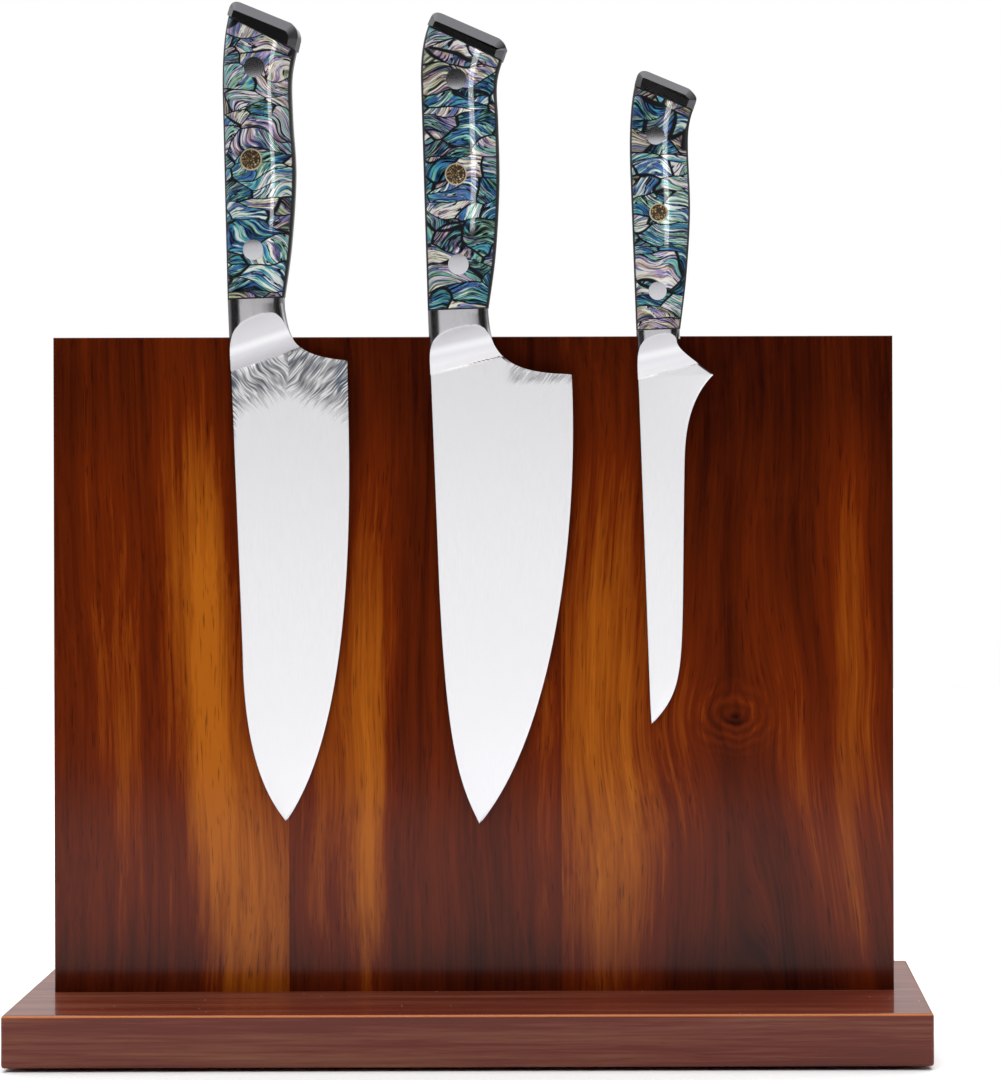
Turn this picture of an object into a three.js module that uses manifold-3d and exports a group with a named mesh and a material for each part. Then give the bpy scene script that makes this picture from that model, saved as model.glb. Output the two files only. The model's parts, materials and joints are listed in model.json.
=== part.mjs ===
// Magnetic knife block with three knives: an upright board on a flat base, with bar magnets inside
// the board, and two chef's knives and a boning knife that hang on its front face.
// Millimetres, +Z up. The origin is the middle of the base on the surface that it stands on, and
// the knives are on the side that faces -Y.

import * as THREE from 'three';
import { mergeVertices } from 'three/addons/utils/BufferGeometryUtils.js';
import { RoundedBoxGeometry } from 'three/addons/geometries/RoundedBoxGeometry.js';
import Module from 'manifold-3d';

// ---- Driving dimensions ----

const GAP = 0.3;                        // clearance round a piece let into another

const FOOT = { radius: 9, height: 4, proud: 1.5, x: 160, y: 42 };
const BASE = { width: 368, depth: 120, height: 21, edge: 1.2 };
const PANEL = { width: 345, height: 269, front: -10, glue: -2, back: 10 };
const FRONT_JOINTS = [-76, 36];         // where the staves of the front layer meet
const BACK_JOINTS = [-22, 70];          // the back layer's joints are staggered from them
const TONGUE = { width: 320, thickness: 8, depth: 12, y: 4 };
const SCREW = { radius: 2.2, headRadius: 4.5, headDepth: 2.6, length: 40, point: 4, xs: [-130, -45, 45, 130] };
const MAGNET = { width: 40, height: 14, depth: 5, rows: [165, 235], pitch: 45 };
const KEEPER = { width: 330, depth: 2 };

const TILT = THREE.MathUtils.degToRad(2);   // each knife hangs with its tip a little to the right
const TANG = 1.5;                           // half thickness of a tang
const RIVET_SIDES = 14;
const SCREW_SIDES = 16;
const FOOT_SIDES = 24;

const BASE_BOTTOM = FOOT.proud;
const BASE_TOP = BASE_BOTTOM + BASE.height;
const PANEL_TOP = BASE_TOP + PANEL.height;

// Each knife is drawn flat in its own frame: x runs from the spine to the edge, z from the tip to
// the butt, and the origin is where the spine meets the bolster line. A curve is a cubic given as
// [first control, second control, end].
const KNIVES = [
  {
    name: 'chef_knife', x: -99.7, z: 306.5,
    gripEdge: [[23.1, 0], [26.9, 22], [29.7, 50], [29.3, 72], [29.7, 90], [32.9, 103.8]],
    cap: { low: [2.4, 117], lowRight: [31.6, 100.6], topLeft: [8.3, 121.3], topRight: [33.9, 109.6] },
    gripSpine: [[2, 108], [1.4, 85]],
    gripHalf: 9, bolsterHalf: 7, neck: 9, scoop: 18,
    choil: [[22.6, -2], [24.1, -16.8], [24.9, -23.7], [47.7, -26.5]],
    edge: [[[46.6, -56], [49.2, -169.7], [15.1, -214.6]]],
    spineDrop: [-145, [-1, -192], [9.9, -207]],
    rivets: [93.7, 19.8], pin: 56.4, rivetX: [15.5, 12], pinX: 12.7, rivetRadius: 4.2, pinRadius: 4.5,
  },
  {
    name: 'wide_chef_knife', x: -17.8, z: 301.8,
    gripEdge: [[24.7, 0], [28.5, 22], [31.1, 50], [31.6, 75], [31.8, 92], [35.7, 104.2]],
    cap: { low: [2.7, 116.8], lowRight: [34, 100.4], topLeft: [8.3, 121], topRight: [36.7, 107.4] },
    gripSpine: [[0.9, 109], [0.9, 92]],
    gripHalf: 9, bolsterHalf: 7, neck: 8, scoop: 18,
    choil: [[24.5, -2], [25.3, -12], [23.7, -26.9], [57.6, -28]],
    edge: [[[58.4, -88.2], [45.8, -174], [12.8, -211.1]]],
    spineDrop: [-110, [0.4, -181], [5.6, -195.4]],
    rivets: [93.1, 18.2], pin: 54.7, rivetX: [15.7, 13.6], pinX: 14.1, rivetRadius: 4.2, pinRadius: 4.5,
  },
  {
    name: 'boning_knife', x: 67.2, z: 293.6,
    gripEdge: [[18, 0], [21.4, 22], [23.8, 48], [23.9, 74], [25, 84], [27.9, 92.3]],
    cap: { low: [2.2, 99.6], lowRight: [26.4, 88.6], topLeft: [6.4, 105.6], topRight: [28, 95.6] },
    gripSpine: [[0.2, 93], [0, 66]],
    gripHalf: 8, bolsterHalf: 6, neck: 4, scoop: 16,
    choil: [[17.6, -1], [17.3, -7.6], [13.3, -5.5], [30.9, -19.2]],
    edge: [[[18.9, -29.9], [18.4, -47.5], [17.9, -52]], [[13, -139.4], [16.4, -145.7], [0.3, -161.7]]],
    spineDrop: [-150, [0, -154], [0.1, -158]],
    rivets: [78.6, 15.7], pin: 47.4, rivetX: [10.8, 9.3], pinX: 10.9, rivetRadius: 3.7, pinRadius: 3.8,
  },
];

const HEEL_HALF = 1.25;                 // blade half thickness at the spine, by the heel
const TIP_HALF = 0.7;                   // and at the tip
const EDGE_RATIO = 0.16;                // the cutting edge, as a part of the spine's thickness

// ---- Materials ----

const FINISH = {
  frontWood: { color: 0x5a2412, roughness: 0.25, metalness: 0 },
  backWood: { color: 0x4e2112, roughness: 0.3, metalness: 0 },
  baseWood: { color: 0x5f3c32, roughness: 0.3, metalness: 0 },
  blade: { color: 0xd9d9de, roughness: 0.18, metalness: 1 },
  polished: { color: 0xc4c4c8, roughness: 0.2, metalness: 1 },
  plainSteel: { color: 0x8d8f93, roughness: 0.45, metalness: 1 },
  shell: { color: 0x4f7f86, roughness: 0.15, metalness: 0 },
  brass: { color: 0xb08d4a, roughness: 0.3, metalness: 1 },
  filler: { color: 0x4a3a22, roughness: 0.4, metalness: 0 },
  magnet: { color: 0x55585c, roughness: 0.5, metalness: 1 },
  rubber: { color: 0x1b1b1c, roughness: 0.9, metalness: 0 },
};

// ---- Shape helpers ----

const wasm = await Module();
wasm.setup();

function toSolid(geometry) {
  const bare = geometry.clone();
  bare.deleteAttribute('normal');
  bare.deleteAttribute('uv');
  const merged = mergeVertices(bare);
  return new wasm.Manifold(new wasm.Mesh({
    numProp: 3,
    vertProperties: new Float32Array(merged.attributes.position.array),
    triVerts: new Uint32Array(merged.index.array),
  }));
}

function toGeometry(solid) {
  const mesh = solid.getMesh();
  const geometry = new THREE.BufferGeometry();
  geometry.setAttribute('position', new THREE.BufferAttribute(mesh.vertProperties, 3));
  geometry.setIndex(new THREE.BufferAttribute(mesh.triVerts, 1));
  return geometry;
}

function cut(geometry, tools) {
  return toGeometry(tools.reduce((solid, tool) => solid.subtract(toSolid(tool)), toSolid(geometry)));
}

function join(first, second) {
  return toGeometry(toSolid(first).add(toSolid(second)));
}

function block([x0, x1], [y0, y1], [z0, z1]) {
  const box = new THREE.BoxGeometry(x1 - x0, y1 - y0, z1 - z0);
  return box.translate((x0 + x1) / 2, (y0 + y1) / 2, (z0 + z1) / 2);
}

function upright(radius, z0, z1, x, y, sides) {
  const cylinder = new THREE.CylinderGeometry(radius, radius, z1 - z0, sides).rotateX(Math.PI / 2);
  return cylinder.translate(x, y, (z0 + z1) / 2);
}

// A rod along Y through a knife's grip.
function crossRod(radius, length, x, z) {
  return new THREE.CylinderGeometry(radius, radius, length, RIVET_SIDES).translate(x, 0, z);
}

// Joins a row of closed loops of equal length into one closed body. `capFaces` triangulates an end.
function loft(loops, capFaces) {
  const sides = loops[0].length;
  const positions = loops.flat().flatMap((point) => point.toArray());
  const index = [];
  for (let row = 0; row < loops.length - 1; row += 1) {
    for (let side = 0; side < sides; side += 1) {
      const a = row * sides + side;
      const b = row * sides + (side + 1) % sides;
      index.push(a, a + sides, b, b, a + sides, b + sides);
    }
  }
  const last = (loops.length - 1) * sides;
  for (const [a, b, c] of capFaces) {
    index.push(a, b, c, last + a, last + c, last + b);
  }
  const geometry = new THREE.BufferGeometry();
  geometry.setAttribute('position', new THREE.Float32BufferAttribute(positions, 3));
  geometry.setIndex(index);
  return geometry;
}

const part = new THREE.Group();

function place(name, geometry, finish, group = part) {
  const mesh = new THREE.Mesh(geometry, new THREE.MeshStandardMaterial(FINISH[finish]));
  mesh.name = name;
  group.add(mesh);
}

// ---- Block ----

const footSpots = [[-1, -1], [1, -1], [-1, 1], [1, 1]].map(([i, j]) => [i * FOOT.x, j * FOOT.y]);
const panelBottom = BASE_TOP;
const tongueBottom = BASE_TOP - TONGUE.depth;
const screwBottom = BASE_BOTTOM + 0.5;

function screwHole(x, z0, z1) {
  return upright(SCREW.radius + GAP, z0, z1, x, TONGUE.y, SCREW_SIDES);
}

function buildBase() {
  const plate = new RoundedBoxGeometry(BASE.width, BASE.depth, BASE.height, 1, BASE.edge)
    .translate(0, 0, BASE_BOTTOM + BASE.height / 2);
  const groove = block(
    [-TONGUE.width / 2 - GAP, TONGUE.width / 2 + GAP],
    [TONGUE.y - TONGUE.thickness / 2 - GAP, TONGUE.y + TONGUE.thickness / 2 + GAP],
    [tongueBottom - GAP, BASE_TOP + 1],
  );
  const recesses = footSpots.map(([x, y]) =>
    upright(FOOT.radius + GAP, BASE_BOTTOM - 1, FOOT.height + GAP, x, y, FOOT_SIDES));
  const sinkTop = screwBottom + SCREW.headDepth + GAP;
  const screws = SCREW.xs.flatMap((x) => [
    screwHole(x, BASE_BOTTOM - 1, tongueBottom + 1),
    upright(SCREW.headRadius + GAP, BASE_BOTTOM - 1, sinkTop, x, TONGUE.y, SCREW_SIDES),
  ]);
  place('base_plate', cut(plate, [groove, ...recesses, ...screws]), 'baseWood');
}

// A turned piece standing on z = 0 at x, y: its profile is a list of [radius, z].
function turned(profile, sides, x, y) {
  const lathe = new THREE.LatheGeometry(profile.map(([r, z]) => new THREE.Vector2(r, z)), sides);
  return lathe.rotateX(Math.PI / 2).translate(x, y, 0);
}

function buildFeet() {
  const { radius, height } = FOOT;
  const lip = 0.6;
  const profile = [[0, 0], [radius - lip, 0], [radius, lip], [radius, height], [0, height]];
  footSpots.forEach(([x, y], i) => {
    place(`foot_${i + 1}`, turned(profile, FOOT_SIDES, x, y), 'rubber');
  });
}

function buildScrews() {
  const { radius, headRadius, headDepth, length, point } = SCREW;
  const profile = [[0, 0], [headRadius, 0], [radius, headDepth], [radius, length - point], [0, length]];
  SCREW.xs.forEach((x, i) => {
    const screw = turned(profile, SCREW_SIDES, x, TONGUE.y).translate(0, 0, screwBottom);
    place(`base_screw_${i + 1}`, screw, 'plainSteel');
  });
}

// The magnets of one stave, spread evenly along it: a list of [x, z] centres.
function magnetSpots(left, right) {
  const count = Math.floor((right - left) / MAGNET.pitch);
  const step = (right - left) / count;
  return MAGNET.rows.flatMap((z) =>
    Array.from({ length: count }, (_, i) => [left + (i + 0.5) * step, z]));
}

function around(centre, size, gap = 0) {
  return [centre - size / 2 - gap, centre + size / 2 + gap];
}

function staveEdges(joints) {
  const edges = [-PANEL.width / 2, ...joints, PANEL.width / 2];
  return edges.slice(1).map((right, i) => [edges[i], right]);
}

function buildFrontLayer() {
  let count = 0;
  staveEdges(FRONT_JOINTS).forEach(([left, right], i) => {
    const spots = magnetSpots(left, right);
    const stave = block([left, right], [PANEL.front, PANEL.glue], [panelBottom, PANEL_TOP]);
    const pockets = spots.map(([x, z]) => block(
      around(x, MAGNET.width, GAP),
      [PANEL.glue - MAGNET.depth - GAP, PANEL.glue + 1],
      around(z, MAGNET.height, GAP),
    ));
    place(`front_stave_${i + 1}`, cut(stave, pockets), 'frontWood');
    spots.forEach(([x, z]) => {
      count += 1;
      const depth = [PANEL.glue - MAGNET.depth, PANEL.glue];
      const bar = block(around(x, MAGNET.width), depth, around(z, MAGNET.height));
      place(`bar_magnet_${count}`, bar, 'magnet');
    });
  });
}

function buildBackLayer() {
  const grooves = MAGNET.rows.map((z) => block(
    around(0, KEEPER.width, GAP),
    [PANEL.glue - 1, PANEL.glue + KEEPER.depth + GAP],
    around(z, MAGNET.height, GAP),
  ));
  const holes = SCREW.xs.map((x) => screwHole(x, tongueBottom - 1, screwBottom + SCREW.length + GAP));
  staveEdges(BACK_JOINTS).forEach(([left, right], i) => {
    const board = block([left, right], [PANEL.glue, PANEL.back], [panelBottom, PANEL_TOP]);
    const tongue = block(
      [Math.max(left, -TONGUE.width / 2), Math.min(right, TONGUE.width / 2)],
      around(TONGUE.y, TONGUE.thickness),
      [tongueBottom, panelBottom + 1],
    );
    place(`back_stave_${i + 1}`, cut(join(board, tongue), [...grooves, ...holes]), 'backWood');
  });
  MAGNET.rows.forEach((z, i) => {
    const depth = [PANEL.glue, PANEL.glue + KEEPER.depth];
    const strip = block(around(0, KEEPER.width), depth, around(z, MAGNET.height));
    place(`keeper_strip_${i + 1}`, strip, 'plainSteel');
  });
}

// ---- Knives ----

function curvePoints(start, curves, divisions) {
  const points = [new THREE.Vector2(...start)];
  for (const [first, second, end] of curves) {
    const curve = new THREE.CubicBezierCurve(
      points.at(-1), new THREE.Vector2(...first), new THREE.Vector2(...second), new THREE.Vector2(...end),
    );
    points.push(...curve.getPoints(divisions).slice(1));
  }
  return points;
}

// Reads x from a row of points whose z falls steadily.
function xAt(points, z) {
  const next = Math.max(1, points.findIndex((point) => point.y <= z));
  const [upper, lower] = [points[next - 1], points[next]];
  const t = (upper.y - z) / (upper.y - lower.y);
  return upper.x + THREE.MathUtils.clamp(t, 0, 1) * (lower.x - upper.x);
}

function bladeLines(knife) {
  const tip = knife.edge.at(-1)[2];
  const [dropStart, first, second] = knife.spineDrop;
  const edge = [
    new THREE.Vector2(knife.choil[0][0], 0),
    ...curvePoints(knife.choil[0], [knife.choil.slice(1)], 7),
    ...curvePoints(knife.choil[3], knife.edge, 10).slice(1),
  ];
  const spine = [new THREE.Vector2(0, 1), ...curvePoints([0, dropStart], [[first, second, tip]], 8)];
  return { edge, spine, length: -tip[1] };
}

// Half the blank's thickness at a place: a round-sided neck, scooped down to a flat-ground blade.
function halfThickness(knife, across, x, s, length) {
  const spineHalf = THREE.MathUtils.lerp(HEEL_HALF, TIP_HALF, s / length);
  const ground = spineHalf * (1 - (1 - EDGE_RATIO) * across);
  const t = THREE.MathUtils.clamp((s + 0.22 * x - knife.neck) / knife.scoop, 0, 1);
  const scooped = spineHalf + (knife.bolsterHalf - spineHalf) * (1 - t) ** 2;
  const side = Math.abs(2 * across - 1);
  const roundSided = knife.bolsterHalf * (0.3 + 0.7 * Math.sqrt(1 - side ** 4));
  return t < 1 ? Math.max(ground, Math.min(scooped, roundSided)) : ground;
}

const STATIONS = [0, 0.06, 0.22, 0.5, 0.78, 0.94, 1];

function bladeBody(knife) {
  const { edge, spine, length } = bladeLines(knife);
  const loops = edge.map(({ x: edgeX, y: z }) => {
    const spineX = Math.min(xAt(spine, z), edgeX - 0.4);
    const front = STATIONS.map((across) => {
      const x = THREE.MathUtils.lerp(spineX, edgeX, across);
      return new THREE.Vector3(x, -halfThickness(knife, across, x, -z, length), z);
    });
    const back = front.map(({ x, y }) => new THREE.Vector3(x, -y, z)).reverse();
    return [...front, ...back];
  });
  const fan = Array.from({ length: loops[0].length - 2 }, (_, i) => [0, i + 1, i + 2]);
  return loft(loops, fan);
}

// The whole grip with its cap, carried a little way into the bolster.
function gripShape(knife) {
  const { topLeft: [leftX, leftZ], topRight: [rightX, rightZ] } = knife.cap;
  const overlap = 6;
  const corner = 3;
  const [firstEdge, ...edgePoints] = knife.gripEdge;
  const shape = new THREE.Shape();
  shape.moveTo(0, -overlap);
  shape.lineTo(firstEdge[0] - 0.4, -overlap);
  shape.lineTo(...firstEdge);
  shape.splineThru(edgePoints.map((point) => new THREE.Vector2(...point)));
  shape.quadraticCurveTo(rightX + 0.6, rightZ - 1.6, rightX - corner, rightZ + corner * 0.55);
  shape.lineTo(leftX + corner, leftZ - corner * 0.4);
  shape.quadraticCurveTo(leftX - 0.6, leftZ + 0.6, leftX - corner * 0.7, leftZ - corner * 0.8);
  shape.quadraticCurveTo(...knife.gripSpine.flat());
  return shape;
}

// A large block whose face lies on the line where the scales meet the cap.
function capSide(knife, side, gap) {
  const size = 260;
  const low = new THREE.Vector2(...knife.cap.low);
  const right = new THREE.Vector2(...knife.cap.lowRight);
  const middle = low.clone().add(right).multiplyScalar(0.5);
  const slope = Math.atan2(right.y - low.y, right.x - low.x);
  return new THREE.BoxGeometry(size, size, size)
    .translate(0, 0, side * (size / 2 + gap))
    .rotateY(-slope)
    .translate(middle.x, 0, middle.y);
}

// The grip is full in the palm and thinner at the bolster.
function gripHalfAt(knife, z) {
  const waist = THREE.MathUtils.clamp(1 - z / 45, 0, 1);
  return knife.gripHalf - (knife.gripHalf - knife.bolsterHalf) * waist ** 2;
}

// The grip outline stacked in layers from front to back. Each layer is [depth, inset]: a depth of 1
// is the full half thickness, and an inset draws the outline in towards the grip's middle line.
function gripBody(knife, halfAt, layers) {
  const outline = gripShape(knife).getPoints(5);
  const { topLeft, topRight } = knife.cap;
  const middle = new THREE.Line3(
    new THREE.Vector3(topRight[0] * 0.38, 0, 6),
    new THREE.Vector3((topLeft[0] + topRight[0]) / 2 - 2, 0, topRight[1] - 6),
  );
  const loops = layers.map(([depth, inset]) => outline.map(({ x, y: z }) => {
    const point = new THREE.Vector3(x, 0, z);
    const centre = middle.closestPointToPoint(point, true, new THREE.Vector3());
    const drawn = point.addScaledVector(centre.sub(point).normalize(), inset);
    return drawn.setY(depth * halfAt(Math.max(0, z)));
  }));
  return loft(loops, THREE.ShapeUtils.triangulateShape(outline, []));
}

function tangBody(knife) {
  return gripBody(knife, () => TANG, [[-1, 0], [1, 0]]);
}

// Rounded over by 3 mm at the front and back.
function scaleBlank(knife) {
  const rounding = [[1, 3], [0.9, 1], [0.68, 0]];
  const layers = [...rounding.map(([depth, inset]) => [-depth, inset]), ...rounding.reverse()];
  return gripBody(knife, (z) => gripHalfAt(knife, z), layers);
}

// A flat chamfer all round, front and back.
function capBlank(knife) {
  const layers = [[-1, 2.6], [-0.7, 0], [0.7, 0], [1, 2.6]];
  return gripBody(knife, (z) => gripHalfAt(knife, z), layers);
}

function fittings(knife) {
  return [
    { label: 'upper_rivet', x: knife.rivetX[0], z: knife.rivets[0], radius: knife.rivetRadius },
    { label: 'mosaic_pin', x: knife.pinX, z: knife.pin, radius: knife.pinRadius },
    { label: 'lower_rivet', x: knife.rivetX[1], z: knife.rivets[1], radius: knife.rivetRadius },
  ];
}

function buildFittings(knife, group) {
  for (const { label, x, z, radius } of fittings(knife)) {
    const length = 2 * gripHalfAt(knife, z);
    const rod = crossRod(radius, length, x, z);
    if (label !== 'mosaic_pin') {
      place(`${knife.name}_${label}`, rod, 'polished', group);
      continue;
    }
    const wall = 0.7;
    const bore = crossRod(radius - wall, length + 1, x, z);
    place(`${knife.name}_pin_tube`, cut(rod, [bore]), 'brass', group);
    place(`${knife.name}_pin_core`, crossRod(radius - wall - GAP, length, x, z), 'filler', group);
  }
}

// The lean that brings the tip to the board while the bolster just clears its top edge.
function leanOf(knife) {
  const { edge, spine, length } = bladeLines(knife);
  const margin = 4;
  const onBoard = edge.filter(({ y: z }) => knife.z + z < PANEL_TOP + margin && z > -length / 3);
  const slopes = onBoard.flatMap(({ x: edgeX, y: z }) => STATIONS.map((across) => {
    const x = THREE.MathUtils.lerp(xAt(spine, z), edgeX, across);
    return (halfThickness(knife, across, x, -z, length) - TIP_HALF) / (length + z);
  }));
  return Math.asin(Math.max(...slopes));
}

function buildKnife(knife) {
  const lean = leanOf(knife);
  const length = bladeLines(knife).length;
  const hang = new THREE.Group();
  hang.position.set(knife.x, PANEL.front - GAP - TIP_HALF - length * Math.sin(lean), knife.z);
  hang.rotation.x = lean;
  const knifeGroup = new THREE.Group();
  knifeGroup.rotation.y = -TILT;
  hang.add(knifeGroup);
  part.add(hang);

  const holes = fittings(knife).map(({ x, z, radius }) => crossRod(radius + GAP, 40, x, z));
  const aboveScales = capSide(knife, 1, -GAP);
  const tang = cut(tangBody(knife), [aboveScales, ...holes]);
  place(`${knife.name}_blade`, join(bladeBody(knife), tang), 'blade', knifeGroup);

  const whole = [-200, 200];
  const bolsterSide = block(whole, whole, [whole[0], GAP]);
  const inner = TANG + GAP;
  for (const [side, otherHalf] of [['front', [-inner, whole[1]]], ['back', [whole[0], inner]]]) {
    const away = [aboveScales, bolsterSide, block(whole, otherHalf, whole), ...holes];
    place(`${knife.name}_${side}_scale`, cut(scaleBlank(knife), away), 'shell', knifeGroup);
  }
  const cap = cut(capBlank(knife), [capSide(knife, -1, 0)]);
  place(`${knife.name}_butt_cap`, cap, 'polished', knifeGroup);
  buildFittings(knife, knifeGroup);
}

buildBase();
buildFeet();
buildScrews();
buildFrontLayer();
buildBackLayer();
KNIVES.forEach(buildKnife);

export default part;
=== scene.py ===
import json
import math
from contextlib import contextmanager

import bmesh
import bpy
import numpy as np
from mathutils import Matrix, Vector
from mathutils.geometry import interpolate_bezier

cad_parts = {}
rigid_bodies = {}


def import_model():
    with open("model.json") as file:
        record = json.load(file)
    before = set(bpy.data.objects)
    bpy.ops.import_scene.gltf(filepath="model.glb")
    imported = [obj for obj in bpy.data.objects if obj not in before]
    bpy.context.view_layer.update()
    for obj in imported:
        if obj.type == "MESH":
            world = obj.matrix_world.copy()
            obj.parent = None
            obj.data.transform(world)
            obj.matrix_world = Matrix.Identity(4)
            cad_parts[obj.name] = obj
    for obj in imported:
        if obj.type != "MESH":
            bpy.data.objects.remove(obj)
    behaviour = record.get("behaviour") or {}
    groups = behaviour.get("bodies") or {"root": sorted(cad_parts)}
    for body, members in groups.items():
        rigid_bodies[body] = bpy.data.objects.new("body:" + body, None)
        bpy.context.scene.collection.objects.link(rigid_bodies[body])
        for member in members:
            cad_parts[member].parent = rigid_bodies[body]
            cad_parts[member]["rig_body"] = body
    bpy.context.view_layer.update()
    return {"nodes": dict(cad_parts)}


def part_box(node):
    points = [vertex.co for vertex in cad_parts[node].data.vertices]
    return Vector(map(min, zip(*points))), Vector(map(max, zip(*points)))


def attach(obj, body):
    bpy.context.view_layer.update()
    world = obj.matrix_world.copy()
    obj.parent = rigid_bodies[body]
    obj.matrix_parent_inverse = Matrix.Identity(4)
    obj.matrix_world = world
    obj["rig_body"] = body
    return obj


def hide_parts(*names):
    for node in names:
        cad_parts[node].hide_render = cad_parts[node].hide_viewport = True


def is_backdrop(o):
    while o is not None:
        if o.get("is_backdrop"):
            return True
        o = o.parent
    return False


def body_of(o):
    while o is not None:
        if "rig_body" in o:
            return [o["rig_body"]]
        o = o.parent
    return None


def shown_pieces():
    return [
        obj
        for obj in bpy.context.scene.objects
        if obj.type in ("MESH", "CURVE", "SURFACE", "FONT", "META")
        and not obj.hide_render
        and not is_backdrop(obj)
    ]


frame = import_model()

bl_info = {
    "name": "Magnetic knife block",
    "version": (1, 0, 0),
    "blender": (4, 5, 0),
    "location": "View3D > Sidebar > Knife block",
    "description": "Builds a lacquered magnetic knife board with three shell-handled knives",
    "category": "Add Mesh",
}

MM = 0.001


# ---- Sizes taken from the frame ----

def box_centre(node):
    low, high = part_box(node)
    return (low + high) / 2


def upright_rod(node):
    """The middle of the bottom and of the top of a round upright node, and its radius."""
    low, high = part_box(node)
    centre = (low + high) / 2
    return Vector((centre.x, centre.y, low.z)), Vector((centre.x, centre.y, high.z)), (high.x - low.x) / 2


FRONT_STAVES = [f"front_stave_{i}" for i in (1, 2, 3)]
BACK_STAVES = [f"back_stave_{i}" for i in (1, 2, 3)]
MAGNETS = sorted(n for n in frame["nodes"] if n.startswith("bar_magnet"))
KEEPERS = sorted(n for n in frame["nodes"] if n.startswith("keeper_strip"))
SCREWS = sorted(n for n in frame["nodes"] if n.startswith("base_screw"))
FEET = sorted(n for n in frame["nodes"] if n.startswith("foot"))

BOARD_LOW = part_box(FRONT_STAVES[0])[0]
BOARD_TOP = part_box(FRONT_STAVES[2])[1]
BOARD_HIGH = Vector((BOARD_TOP.x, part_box(BACK_STAVES[0])[1].y, BOARD_TOP.z))
BASE_LOW, BASE_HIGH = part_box("base_plate")

SCREW_RADIUS = 2.2 * MM
HEAD_RADIUS = 4.5 * MM
HEAD_DEPTH = 2.6 * MM
TONGUE_HALF_WIDTH = 160 * MM
TONGUE_Y = (0.0, 8 * MM)
CLOSE = 0.01 * MM       # how near to an edge a point counts as on it
FACING = 0.9            # how squarely a face has to face a direction to be picked

# Bands of lighter wood, from left to right: centre, lean, half width, strength, height and reach.
FRONT_BANDS = [
    [(-0.112, -0.03, 0.010, 0.58, 0.170, 0.09), (-0.094, -0.12, 0.019, 0.62, 0.050, 0.11),
     (-0.146, 0.0, 0.012, 0.20, 0.160, 0.12), (-0.108, 0.0, 0.012, 0.18, 0.270, 0.12),
     (-0.130, 0.03, 0.010, 0.12, 0.240, 0.10)],
    [(-0.044, 0.02, 0.009, 0.50, 0.140, 0.09), (-0.043, 0.0, 0.010, 0.34, 0.070, 0.10),
     (-0.064, 0.0, 0.012, 0.16, 0.100, 0.10), (-0.020, 0.0, 0.009, 0.12, 0.120, 0.14),
     (0.028, 0.0, 0.010, 0.14, 0.100, 0.07)],
    [(0.052, 0.0, 0.021, 0.52, 0.110, 0.16), (0.058, 0.0, 0.012, 0.16, 0.130, 0.10),
     (0.071, 0.0, 0.010, 0.16, 0.090, 0.09), (0.088, 0.0, 0.009, 0.22, 0.130, 0.07),
     (0.126, -0.14, 0.010, 0.24, 0.110, 0.10), (0.150, 0.01, 0.010, 0.30, 0.190, 0.08),
     (0.158, -0.02, 0.012, 0.26, 0.110, 0.06), (0.143, -0.02, 0.006, 0.18, 0.060, 0.05)],
]
FRONT_GROUND = [0.24, 0.19, 0.16]
KNOT = (0.1056, 0.0, 0.1345)

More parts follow.
